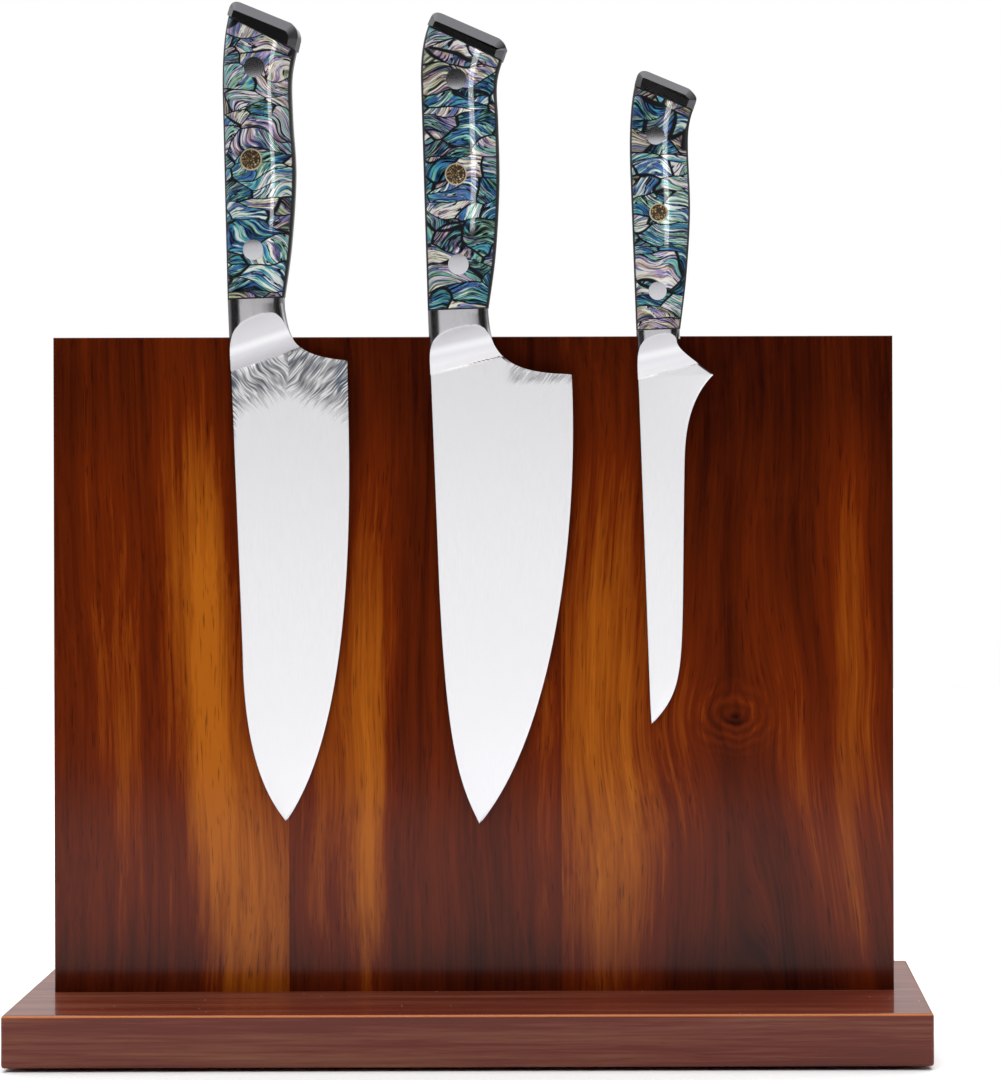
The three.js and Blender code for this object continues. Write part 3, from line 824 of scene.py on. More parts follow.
def steel(name, rough=(0.10, 0.2), turn=(0, 0, 0), relief=0.004 * MM, tint=None):
    settings = bpy.context.scene.knife_settings
    material, graph, shader, coordinates = new_material(name, Metallic=1.0)
    along = graph.scaled(coordinates["Object"], (1, 1, 1), turn)
    wear = graph.use(cached_group(fine_scratches), Vector=along)
    shade = tint or colour(settings.steel)
    dull = tuple(0.93 * channel for channel in shade[:3])
    graph.feed(shader["Base Color"], graph.mix(wear["Cloud"], shade, colour(dull)))
    blend = graph.mul_add(wear["Scratch"], 0.6, graph.mul(wear["Cloud"], 0.4))
    graph.feed(shader["Roughness"], graph.span(blend, 0.3, 0.7, *rough))
    graph.feed(shader["Normal"], graph.bump(wear["Scratch"], relief, 0.5))
    return material


def blade_steel(knife):
    """Polished blade steel, with a feathered etch that fades out below the bolster, and painted shade
    with a painted highlight band on the scoop.
    """
    settings = bpy.context.scene.knife_settings
    material, graph, shader, coordinates = new_material(f"{knife.name}_steel", Metallic=1.0)
    origin = knife.place.translation
    flat = graph.vector("SUBTRACT", coordinates["Object"], tuple(origin))
    wear = graph.use(cached_group(fine_scratches), Vector=flat)
    etch = graph.use(cached_group(feather_etch), Vector=flat)
    x, _, z = graph.parts(flat)
    boundary = graph.mul_add(x, -knife.shape["scoop_lean"], z)
    end_of_scoop = -(knife.shape["neck"] + knife.shape["scoop"]) * MM
    in_scoop = graph.span(boundary, end_of_scoop, end_of_scoop + knife.shape["scoop_fade"] * MM)
    # Painted shade and a painted highlight on the scoop: a colour darker than the steel, with a lighter
    # band across the middle of the scoop.
    band = graph.span(boundary, end_of_scoop, end_of_scoop + 0.019, soft=False)
    painted_scoop_light = graph.ramp(band, [
        (0, (0.49, 0.48, 0.50)), (0.3, (0.56, 0.55, 0.57)), (0.45, (0.70, 0.70, 0.71)),
        (0.6, (0.55, 0.54, 0.56)), (1, (0.54, 0.53, 0.55))], "EASE")
    depth, patch = 0.0, 0.0
    if knife.shape["etch"] == "full":
        depth, patch = (graph.mul(etch[key], graph.sub(1.0, in_scoop)) for key in ("Depth", "Patch"))
    elif knife.shape["etch"] == "patch":
        depth = graph.mul(graph.span(x, 0.031, 0.036, 0, 0.55), graph.span(z, -0.031, -0.0275))
    # The scoop's painted shade and highlight take the place of the plain steel colour.
    shade = graph.mix(in_scoop, colour(settings.steel), painted_scoop_light)
    strokes = graph.ramp(etch["Stroke"], [
        (0, (0.14, 0.15, 0.17)), (0.3, (0.38, 0.38, 0.40)), (0.6, (0.50, 0.50, 0.52)),
        (0.8, (0.86, 0.86, 0.86))])
    shade = graph.mix(depth, shade, strokes)
    shade = graph.mix(patch, shade, (0.10, 0.13, 0.18, 1))
    graph.feed(shader["Base Color"], shade)
    rough = graph.span(wear["Scratch"], 0.3, 0.7, 0.15, 0.22)
    graph.feed(shader["Roughness"], graph.mul_add(depth, 0.14, rough))
    height = graph.mul(etch["Stroke"], depth)
    height = graph.mul_add(wear["Scratch"], 0.2, height)
    graph.feed(shader["Normal"], graph.bump(height, 0.02 * MM, 0.5))
    return material


def feather_etch(name):
    """Broken strokes that meet in a V below the bolster, with dark patches by the spine and the heel."""
    group, graph, start, end = new_group(
        name, {"Vector": ""}, {"Stroke": "Float", "Depth": "Float", "Patch": "Float"})
    vector = start["Vector"]
    bend = graph.wander(graph.scaled(vector, (90, 0, 90)), 1, (0.005, 0, 0.005), detail=1)
    x, _, z = graph.parts(graph.vector("ADD", vector, bend))
    off = graph.math("ABSOLUTE", graph.sub(x, ETCH_CENTRE))
    side = graph.math("GREATER_THAN", x, ETCH_CENTRE)
    along = graph.mul_add(off, 0.66, graph.mul(z, 0.75))
    across = graph.mul_add(off, -0.75, graph.mul(z, 0.66))
    layer = graph.mul(side, 5.0)
    wide = graph.streaks(along, across, layer, (85, 520), 1)
    fine = graph.streaks(along, across, layer, (130, 1500), 1)
    stroke = graph.mul_add(fine, 0.55, graph.mul(wide, 0.45))
    graph.feed(end["Stroke"], graph.span(stroke, 0.40, 0.60, soft=False))
    low = graph.mul_add(off, 0.4, graph.mul_add(wide, 0.012, z))
    graph.feed(end["Depth"], graph.span(low, -0.036, -0.026))
    spine = graph.mul(graph.span(x, 0.0038, 0.0012), graph.span(z, -0.062, -0.05))
    heel = graph.mul(graph.span(x, 0.043, 0.045), graph.span(z, -0.041, -0.035))
    patch = graph.mul(graph.math("MAXIMUM", spine, heel), graph.span(fine, 0.58, 0.42))
    graph.feed(end["Patch"], patch)
    return group


def brass(name):
    settings = bpy.context.scene.knife_settings
    return steel(name, rough=(0.34, 0.42), tint=colour(settings.brass))


def pin_filler(name, centre):
    """Small brass pieces packed in dark resin."""
    material, graph, shader, coordinates = new_material(name, Coat_Weight=0.4, Coat_Roughness=0.1)
    vector = graph.vector("SUBTRACT", coordinates["Object"], tuple(centre))
    bend = graph.noise(vector, 700, 2, output="Color")
    vector = graph.vector("ADD", vector, graph.vector("MULTIPLY", bend, (0.0006, 0.0006, 0.0006)))
    edge = graph.cells(vector, 1150, "DISTANCE_TO_EDGE", "Distance")
    shade = graph.cells(vector, 1150)
    level, other, _ = graph.parts(shade)
    piece = graph.mul(graph.span(edge, 0.10, 0.2), graph.span(level, 0.22, 0.3))
    gold = graph.ramp(other, [
        (0, (0.28, 0.14, 0.03)), (0.5, (0.62, 0.38, 0.12)), (1, (0.85, 0.66, 0.36))])
    graph.feed(shader["Base Color"], graph.mix(piece, (0.025, 0.014, 0.006, 1), gold))
    graph.feed(shader["Metallic"], graph.mul(piece, 0.8))
    graph.feed(shader["Roughness"], graph.span(piece, 0, 1, 0.4, 0.3))
    return material


def gritty(name, scale, detail, tones, rough, relief, strength, **shader_values):
    """A plain material with fine grit in its colour, roughness and surface."""
    material, graph, shader, coordinates = new_material(name, **shader_values)
    grit = graph.noise(coordinates["Object"], scale, detail, 0.7)
    graph.feed(shader["Base Color"], graph.mix(grit, *map(colour, tones)))
    graph.feed(shader["Roughness"], graph.span(grit, 0.3, 0.7, *rough))
    graph.feed(shader["Normal"], graph.bump(grit, relief, strength))
    return material


def rubber(name):
    tones = [(0.011, 0.011, 0.012), (0.03, 0.03, 0.031)]
    return gritty(name, 2600, 3, tones, (0.75, 0.95), 0.05 * MM, 0.5, Specular_IOR_Level=0.3)


def ferrite(name):
    tones = [(0.045, 0.047, 0.05), (0.11, 0.112, 0.118)]
    return gritty(name, 1800, 4, tones, (0.5, 0.75), 0.04 * MM, 0.6, Metallic=0.25)


# ---- Shell mosaic ----

def shell_mosaic(name):
    """Broken shell pieces with flowing bands of blue, green, teal, violet, pink and straw colour."""
    group, graph, start, end = new_group(
        name, {"Vector": "", "Shift": 0.0}, {"Color": "Color", "Pearl": "Float", "Crack": "Float"})
    move = graph.point(start["Shift"], graph.mul(start["Shift"], 0.37), 0.0)
    vector = graph.vector("ADD", start["Vector"], move)
    swirl = graph.wander(
        graph.scaled(vector, (48, 48, 60)), 1, (0.016, 0.012, 0.016), detail=1, roughness=0.4)
    flow = graph.vector("ADD", vector, swirl)
    spread = graph.scaled(flow, (55, 55, 130), (0, math.radians(14), 0))
    edge = graph.cells(spread, 1, "DISTANCE_TO_EDGE", "Distance")
    piece = graph.cells(spread, 1)
    hue, turn, light = graph.parts(piece)
    x, y, z = graph.parts(flow)
    turned = graph.mul_add(turn, 1.9, -0.8)
    sine, cosine = graph.math("SINE", turned), graph.math("COSINE", turned)
    along = graph.mul_add(x, cosine, graph.mul(z, sine))
    across = graph.sub(graph.mul(z, cosine), graph.mul(x, sine))
    across = graph.mul_add(y, 0.6, across)
    wave = graph.math("SINE", graph.mul_add(along, 300.0, graph.mul(hue, 6.0)))
    across = graph.mul_add(wave, 0.0009, across)
    place = graph.mul(hue, 31.0)
    slow = graph.streaks(along, across, place, (62, 460), 2, roughness=0.55, distortion=0.15)
    fine = graph.streaks(along, across, place, (120, 1400), 3, roughness=0.65, distortion=0.1)
    tone = graph.mul_add(graph.sub(slow, 0.5), 2.2, graph.mul(hue, 0.8))
    tone = graph.math("PINGPONG", graph.add(tone, 0.1), 1.0)
    shell = graph.ramp(tone, [
        (0.00, (0.07, 0.12, 0.30)), (0.10, (0.06, 0.20, 0.55)), (0.20, (0.09, 0.44, 0.62)),
        (0.30, (0.20, 0.66, 0.62)), (0.40, (0.46, 0.76, 0.52)), (0.48, (0.17, 0.36, 0.30)),
        (0.56, (0.09, 0.17, 0.42)), (0.66, (0.32, 0.30, 0.60)), (0.76, (0.66, 0.46, 0.66)),
        (0.85, (0.82, 0.58, 0.54)), (0.93, (0.80, 0.74, 0.46)), (1.00, (0.30, 0.52, 0.32)),
    ])
    # Lift and the ramp it drives darken and lighten the shell along its fine streaks. This is partly the
    # pieces' own tone and partly painted relief shade.
    lift = graph.mul_add(graph.sub(fine, 0.5), 3.4, graph.span(light, 0, 1, 0.36, 0.92))
    shade = graph.ramp(lift, [
        (0, (0.012, 0.012, 0.016)), (0.3, (0.22, 0.22, 0.24)), (0.6, (0.85, 0.85, 0.85)), (1, (1, 1, 1))])
    shell = graph.mix(1.0, shell, shade, "MULTIPLY")
    # Painted highlights: the brightest streaks are turned near white.
    painted_highlight = graph.mul(graph.span(lift, 0.72, 1.0), graph.span(slow, 0.40, 0.54))
    shell = graph.mix(graph.mul(painted_highlight, 0.92), shell, (0.97, 0.99, 0.91, 1))
    broken = graph.span(graph.noise(vector, 240, 2), 0.40, 0.6, 0.004, 0.022)
    vein = graph.math("ABSOLUTE", graph.sub(slow, 0.47))
    vein = graph.span(graph.sub(vein, broken), 0.006, -0.004)
    hair = graph.math("ABSOLUTE", graph.sub(fine, 0.42))
    hair = graph.span(graph.sub(hair, broken), 0.004, -0.004)
    vein = graph.math("MAXIMUM", vein, graph.mul(hair, 0.5))
    crack = graph.math("MAXIMUM", graph.span(edge, 0.045, 0.02), vein, clamp=True)
    graph.feed(end["Color"], graph.mix(crack, shell, (0.006, 0.007, 0.010, 1)))
    graph.feed(end["Pearl"], graph.sub(1.0, crack))
    graph.feed(end["Crack"], crack)
    return group


def shell_resin(knife, side):
    """Shell mosaic under clear resin. The sides of the scale are dark."""
    material, graph, shader, coordinates = new_material(
        f"{knife.name}_{side}_shell", Coat_Roughness=0.06, Coat_IOR=1.5)
    shift = knife.shape["shell_shift"] + (0.5 if side == "back" else 0)
    mosaic = graph.use(cached_group(shell_mosaic), Vector=coordinates["Object"], Shift=shift)
    across, along, _ = graph.parts(coordinates["UV"])
    rim = graph.math("ABSOLUTE", graph.sub(across, 0.5))
    ends = graph.math("ABSOLUTE", graph.sub(along, 0.5))
    inside = graph.mul(graph.span(rim, 0.385, 0.35), graph.span(ends, 0.4965, 0.494))
    graph.feed(shader["Base Color"], graph.mix(inside, (0.020, 0.018, 0.019, 1), mosaic["Color"]))
    graph.feed(shader["Metallic"], graph.mul(graph.mul(mosaic["Pearl"], inside), 0.3))
    graph.feed(shader["Roughness"], graph.span(mosaic["Pearl"], 0, 1, 0.5, 0.34))
    graph.feed(shader["Coat Weight"], graph.span(inside, 0, 1, 0.1, 1.0))
    graph.feed(shader["Specular IOR Level"], graph.span(inside, 0, 1, 0.1, 0.14))
    return material


# ---- Block pieces ----

def hollow_blocks(piece, nodes, gap, grow):
    """Cuts a box-shaped recess for each CAD node. Grow adds to each box: (low corner, high corner)."""
    tools = []
    for node in nodes:
        low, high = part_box(node)
        low = low - Vector((gap, gap, gap)) + Vector(grow[0])
        high = high + Vector((gap, gap, gap)) + Vector(grow[1])
        tools.append(add_block("tool", low, high))
    combine(piece, joined(tools), "DIFFERENCE")


def bore_for_screws(piece, gap):
    tools = []
    for node in SCREWS:
        foot, point, _ = upright_rod(node)
        tools.append(add_rod("tool", SCREW_RADIUS + gap, foot - Vector((0, 0, 5 * MM)), point, 32))
    combine(piece, joined(tools), "DIFFERENCE")


def round_outer_edges(piece, size, outer):
    """Rounds the edges whose two ends pass a test of place."""
    with editing(piece, "EDGE") as mesh:
        pick(piece, mesh.edges, lambda edge: all(outer(vertex.co) for vertex in edge.verts))
        bpy.ops.mesh.bevel(offset=size, segments=3, affect="EDGES")


def inside_span(low, high, node):
    node_low, node_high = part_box(node)
    return node_high.x > low.x and node_low.x < high.x


class BLOCK_OT_base(bpy.types.Operator):
    """Adds the base plate, with its groove, foot recesses and screw holes"""
    bl_idname = "knife_block.base"
    bl_label = "Base plate"

    def execute(self, context):
        settings = context.scene.block_settings
        gap = settings.let_in_gap
        plate = add_block("base", BASE_LOW, BASE_HIGH)
        with editing(plate, "EDGE"):
            bpy.ops.mesh.select_all(action="SELECT")
            bpy.ops.mesh.bevel(offset=settings.base_edge, segments=4, affect="EDGES")
        tongue_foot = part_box(BACK_STAVES[0])[0].z
        groove_low = Vector((-TONGUE_HALF_WIDTH - gap, TONGUE_Y[0] - gap, tongue_foot - gap))
        groove_high = Vector((TONGUE_HALF_WIDTH + gap, TONGUE_Y[1] + gap, BASE_HIGH.z + gap))
        combine(plate, add_block("tool", groove_low, groove_high), "DIFFERENCE")
        recesses = []
        for node in FEET:
            start, end, radius = upright_rod(node)
            end.z += gap
            recesses.append(add_rod("tool", radius + gap, start, end, 64))
        for node in SCREWS:
            foot, _, _ = upright_rod(node)
            top = foot + Vector((0, 0, HEAD_DEPTH + gap))
            recesses.append(add_rod("tool", HEAD_RADIUS + gap, foot - Vector((0, 0, 2 * MM)), top, 48))
        combine(plate, joined(recesses), "DIFFERENCE")
        bore_for_screws(plate, gap)
        mend(plate)
        smooth_flats(plate)
        settle(plate, "block", ["base_plate"], [base_wood("base_wood")])
        return {"FINISHED"}


class BLOCK_OT_board(bpy.types.Operator):
    """Adds the board's staves: the front ones with magnet pockets, the back ones with a tongue"""
    bl_idname = "knife_block.board"
    bl_label = "Board staves"

    def execute(self, context):
        settings = context.scene.block_settings
        for i, node in enumerate(FRONT_STAVES):
            self.add_front(settings, i, node)
        for i, node in enumerate(BACK_STAVES):
            self.add_back(settings, i, node)
        return {"FINISHED"}

    def outer(self, place):
        """True where a point is on the board's outline, away from the joints between staves."""
        ends = min(abs(place.x - BOARD_LOW.x), abs(place.x - BOARD_HIGH.x)) < CLOSE
        return ends or abs(place.z - BOARD_HIGH.z) < CLOSE

    def add_front(self, settings, i, node):
        low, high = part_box(node)
        stave = add_block(node.replace("front_stave", "front_board"), low, high)
        front = low.y + CLOSE
        round_outer_edges(stave, settings.board_edge, lambda place: self.outer(place) and place.y < front)
        pockets = [magnet for magnet in MAGNETS if inside_span(low, high, magnet)]
        hollow_blocks(stave, pockets, settings.let_in_gap, ((0, 0, 0), (0, 1 * MM, 0)))
        mend(stave)
        smooth_flats(stave)
        knot = KNOT if i == 2 else None
        wood = stave_wood(f"front_wood_{i + 1}", FRONT_BANDS[i], FRONT_GROUND[i],
                          shift=(0.31 * i, 0, 0.17 * i), knot=knot)
        settle(stave, "block", [node], [wood])

    def add_back(self, settings, i, node):
        low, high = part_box(node)
        board_low = Vector((low.x, low.y, BASE_HIGH.z))
        stave = add_block(node.replace("back_stave", "back_board"), board_low, high)
        back = high.y - CLOSE
        round_outer_edges(stave, settings.board_edge, lambda place: self.outer(place) and place.y > back)
        tongue_low = Vector((max(low.x, -TONGUE_HALF_WIDTH), TONGUE_Y[0], low.z))
        tongue_high = Vector((min(high.x, TONGUE_HALF_WIDTH), TONGUE_Y[1], BASE_HIGH.z + 1 * MM))
        combine(stave, add_block("tool", tongue_low, tongue_high), "UNION")
        hollow_blocks(stave, KEEPERS, settings.let_in_gap, ((0, -1 * MM, 0), (0, 0, 0)))
        bore_for_screws(stave, settings.let_in_gap)
        mend(stave)
        smooth_flats(stave)
        bands = [(box_centre(node).x + 0.02 - 0.02 * i, 0.03, 0.014, 0.3, 0.15, 0.2)]
        wood = stave_wood(f"back_wood_{i + 1}", bands, 0.2, shift=(0.57 + 0.41 * i, 0.3, 0.23 * i))
        settle(stave, "block", [node], [wood])


class BLOCK_OT_hardware(bpy.types.Operator):
    """Adds the feet and screws, and finishes the magnets and strips inside the board"""
    bl_idname = "knife_block.hardware"
    bl_label = "Feet, screws and magnets"

    def execute(self, context):
        foot_rubber = rubber("foot_rubber")
        for node in FEET:
            self.add_foot(node, foot_rubber)
        zinc = steel("zinc_steel", rough=(0.3, 0.45), tint=(0.55, 0.56, 0.58, 1))
        for node in SCREWS:
            self.add_screw(node, zinc)
        grey = ferrite("ferrite")
        for node in MAGNETS:
            self.finish_node(node, grey)
        lengthways = (0, math.radians(90), 0)
        strip = steel("strip_steel", rough=(0.3, 0.45), turn=lengthways, tint=(0.5, 0.5, 0.52, 1))
        for node in KEEPERS:
            self.finish_node(node, strip)
        return {"FINISHED"}

    def finish_node(self, node, material):
        mesh = frame["nodes"][node].data
        mesh.materials.clear()
        mesh.materials.append(material)

    def add_foot(self, node, material):
        start, end, radius = upright_rod(node)
        foot = add_rod(node.replace("foot", "rubber_foot"), radius, start, end, 64)
        with editing(foot) as mesh:
            pick(foot, mesh.faces, lambda face: face.normal.z < -FACING)
            bpy.ops.mesh.inset(thickness=radius * 0.45, depth=0)
            bpy.ops.mesh.inset(thickness=0.5 * MM, depth=-0.4 * MM)
        apply_modifier(foot, "BEVEL", width=0.5 * MM, segments=3, limit_method="ANGLE",
                       angle_limit=math.radians(40))
        mend(foot)
        smooth_flats(foot)
        settle(foot, "block", [node], [material])

    def add_screw(self, node, material):
        foot, point, _ = upright_rod(node)
        select_none()
        bpy.ops.mesh.primitive_cylinder_add(vertices=40, radius=HEAD_RADIUS, depth=0.5 * MM,
                                            location=foot + Vector((0, 0, 0.25 * MM)))
        screw = new_piece(node.replace("base_screw", "wood_screw"))
        set_in_place(screw)
        neck = SCREW_RADIUS / HEAD_RADIUS
        length = (point - foot).length
        # Each step up: its rise, and its width as a share of the width below it.
        steps = [(HEAD_DEPTH - 0.5 * MM, neck), (length - HEAD_DEPTH - 5 * MM, 0.94), (4.6 * MM, 0.2)]
        with editing(screw) as mesh:
            pick(screw, mesh.faces, lambda face: face.normal.z > FACING)
            for rise, size in steps:
                bpy.ops.mesh.extrude_region_move(TRANSFORM_OT_translate={"value": (0, 0, rise)})
                bpy.ops.transform.resize(value=(size, size, 1), center_override=(foot.x, foot.y, 0))
        arms = [
            add_block("tool", foot - Vector((across, along, 1 * MM)),
                      foot + Vector((across, along, 1.6 * MM)))
            for across, along in [(2.4 * MM, 0.45 * MM), (0.45 * MM, 2.4 * MM)]
        ]
        combine(arms[0], arms[1], "UNION")
        combine(screw, arms[0], "DIFFERENCE")
        mend(screw)
        smooth(screw)
        settle(screw, "block", [node], [material])


# ---- Knife pieces ----

def grip_rod(name, x, z, radius, reach):
    """A rod through a grip, in the knife's own frame, that reaches as far out on both sides."""
    return add_rod(name, radius, (x * MM, -reach, z * MM), (x * MM, reach, z * MM), 64)


def rods_through(knife, spread):
    """The rods that bore a grip for its rivets and pin, joined, in the knife's own frame."""
    fittings = knife.shape["fittings"].values()
    return joined([grip_rod("tool", x, z, radius * MM + spread, 14 * MM) for x, z, radius in fittings])


def settle_on(knife, piece, name, degrees, part, materials):
    """Names a knife's finished piece, hangs it in its place and gives it what settle does."""
    piece.name = f"{knife.name}_{name}"
    knife.hang(piece)
    smooth(piece, degrees)
    settle(piece, knife.name, [f"{knife.name}_{part}"], materials)


def mirrored(piece):
    """Closes a half piece: its open rim is drawn in to y = 0, and the other half is mirrored."""
    with editing(piece, "EDGE"):
        bpy.ops.mesh.select_non_manifold()
        bpy.ops.mesh.extrude_edges_move()
        bpy.ops.transform.resize(value=(1, 0, 1), center_override=(0, 0, 0))
    apply_modifier(piece, "MIRROR", use_axis=(False, True, False), use_mirror_merge=True,
                   merge_threshold=1e-7)
    mend(piece)


class BLOCK_OT_blades(bpy.types.Operator):
    """Adds the three forged blades, each with its bolster and full tang"""
    bl_idname = "knife_block.blades"
    bl_label = "Blades"

    def execute(self, context):
        for knife in knives():
            blade = self.add_blade(knife)
            tang = self.add_tang(knife)
            combine(tang, rods_through(knife, 0.02 * MM), "DIFFERENCE")
            combine(blade, tang, "UNION")
            mend(blade)
            settle_on(knife, blade, "steel_blade", 24, "blade", [blade_steel(knife)])
        return {"FINISHED"}

    def add_blade(self, knife):
        bolster_share = 0.4
        heel = knife.heel - 1

        def place(u, v):
            if v < bolster_share:
                z = heel * v / bolster_share
            else:
                t = (v - bolster_share) / (1 - bolster_share)
                z = heel + (knife.tip + 0.05 - heel) * math.sin(t * math.pi / 2) ** 1.15
            across = (1 - math.cos(math.pi * u)) / 2
            spine, edge = knife.blade_spine(z), knife.blade_edge(z)
            x = spine + across * max(edge - spine, 0.25)
            return Vector((x, -knife.blade_half(across, x, z), z)) * MM

        blade = add_sheet(f"{knife.name}_steel_blade", 72, 190, place)
        mirrored(blade)
        return blade

    def add_tang(self, knife):
        overlap = 4

        def place(u, v):
            x, z = knife.grip_point(u, v, -overlap, 0.05)
            if z < 0:
                x -= 0.25 * u - 0.05
            return Vector((x, -TANG_HALF, z)) * MM

        tang = add_sheet("tang", 10, 90, place)
        mirrored(tang)
        return tang


class BLOCK_OT_scales(bpy.types.Operator):
    """Adds the six grip scales, bored for their rivets and pins"""
    bl_idname = "knife_block.scales"
    bl_label = "Grip scales"

    def execute(self, context):
        for knife in knives():
            for side in ("front", "back"):
                scale = self.add_scale(knife, -1 if side == "front" else 1)
                combine(scale, rods_through(knife, 0.0), "DIFFERENCE")
                mend(scale)
                settle_on(knife, scale, f"{side}_shell", 40, f"{side}_scale",
                          [shell_resin(knife, side)])
        return {"FINISHED"}

    def add_scale(self, knife, facing):
        seam = 0.08

        def place(u, v):
            angle = math.pi * u
            power = 2 / SECTION_POWER
            across = (1 - math.copysign(abs(math.cos(angle)) ** power, math.cos(angle))) / 2
            depth = abs(math.sin(angle)) ** power
            x, z = knife.grip_point(across, v, seam, seam)
            half = TANG_HALF + (knife.grip_half(z) - TANG_HALF) * depth
            return Vector((x, facing * half, z)) * MM

        scale = add_sheet("scale", 44, 110, place)
        for end in (0, 1):
            self.close_end(scale, end)
        with editing(scale, "EDGE"):
            bpy.ops.mesh.select_non_manifold()
            bpy.ops.mesh.edge_face_add()
        mend(scale)
        return scale

    def close_end(self, scale, end):
        """Fills the scale's flat end at the bolster or at the cap."""
        with editing(scale, "EDGE") as mesh:
            layer = mesh.loops.layers.uv.active

            def on_end(edge):
                if not edge.is_boundary:
                    return False
                return all(abs(vertex.link_loops[0][layer].uv.y - end) < 1e-4 for vertex in edge.verts)

            pick(scale, mesh.edges, on_end)
            bpy.ops.mesh.edge_face_add()


class BLOCK_OT_caps(bpy.types.Operator):
    """Adds the slanted, chamfered butt caps"""
    bl_idname = "knife_block.caps"
    bl_label = "Butt caps"

    def execute(self, context):
        mirror = steel("cap_mirror", rough=(0.07, 0.1), relief=0.0006 * MM)
        satin = steel("cap_satin", rough=(0.3, 0.4), tint=(0.25, 0.25, 0.265, 1))
        for knife in knives():
            cap = self.add_cap(knife, context.scene.knife_settings.cap_chamfer)
            cap.name = f"{knife.name}_cap"
            knife.hang(cap)
            smooth_flats(cap, 30)
            settle(cap, knife.name, [f"{knife.name}_butt_cap"], [mirror, satin])
            self.give_satin(cap, knife)
        return {"FINISHED"}

    def outline(self, knife):
        """The butt's outline from spine to edge, which starts and ends well below the cap."""
        left_x, left_z = knife.shape["top_left"]
        right_x, right_z = knife.shape["top_right"]
        below = 7
        last = knife.shape["grip_edge"][-1]
        points = [(x, z) for x, z in knife.spine_curve if z > knife.cap_line(x) - below]
        left_corner, left_end = (left_x - 0.6, left_z + 0.6), (left_x + 3, left_z - 1.2)
        right_start, right_corner = (right_x - 3, right_z + 1.65), (right_x + 0.6, right_z - 1.6)
        points += quadratic_points(points[-1], left_corner, left_end, 9)[1:]
        points += quadratic_points(right_start, right_corner, last, 10)
        points += [(x, z) for x, z in reversed(knife.grip_curve[:-1]) if z > knife.cap_line(x) - below]
        return points

    def add_cap(self, knife, chamfer):
        points = self.outline(knife)
        half = knife.shape["grip_half"] * MM
        side = 0.7 * half
        select_none()
        bpy.ops.mesh.primitive_circle_add(vertices=len(points), radius=1, fill_type="NGON")
        cap = new_piece("cap")
        for vertex, (x, z) in zip(cap.data.vertices, points):
            vertex.co = (x * MM, -side, z * MM)
        with editing(cap):
            bpy.ops.mesh.select_all(action="SELECT")
            bpy.ops.mesh.extrude_region_move(TRANSFORM_OT_translate={"value": (0, 2 * side, 0)})
            bpy.ops.mesh.select_all(action="SELECT")
            bpy.ops.mesh.normals_make_consistent(inside=False)
        with editing(cap) as mesh:
            pick(cap, mesh.faces, lambda face: abs(face.normal.y) > FACING)
            bpy.ops.mesh.inset(thickness=chamfer, depth=half - side)
            shift_x, shift_z = knife.shape["face_shift"]
            bpy.ops.transform.translate(value=(shift_x * MM, 0, shift_z * MM))
        (low_x, low_z), (right_x, right_z) = knife.shape["cap_low"], knife.shape["cap_right"]
        along = Vector((right_x - low_x, 0, right_z - low_z)).normalized()
        upright = Vector((-along.z, 0, along.x))
        seam = Vector((low_x, 0, low_z)) * MM + upright * 0.06 * MM
        with editing(cap):
            bpy.ops.mesh.select_all(action="SELECT")
            bpy.ops.mesh.bisect(plane_co=seam, plane_no=upright, use_fill=True, clear_inner=True)
        mend(cap)
        apply_modifier(cap, "BEVEL", width=0.18 * MM, segments=2, limit_method="ANGLE",
                       angle_limit=math.radians(28))
        return cap

    def give_satin(self, cap, knife):
        """The front and back flats are mirror polished, and the rest is satin."""
        normal = (knife.place.to_3x3() @ Vector((0, 1, 0))).normalized()
        for face in cap.data.polygons:
            face.material_index = 0 if abs(face.normal.dot(normal)) > 0.96 else 1


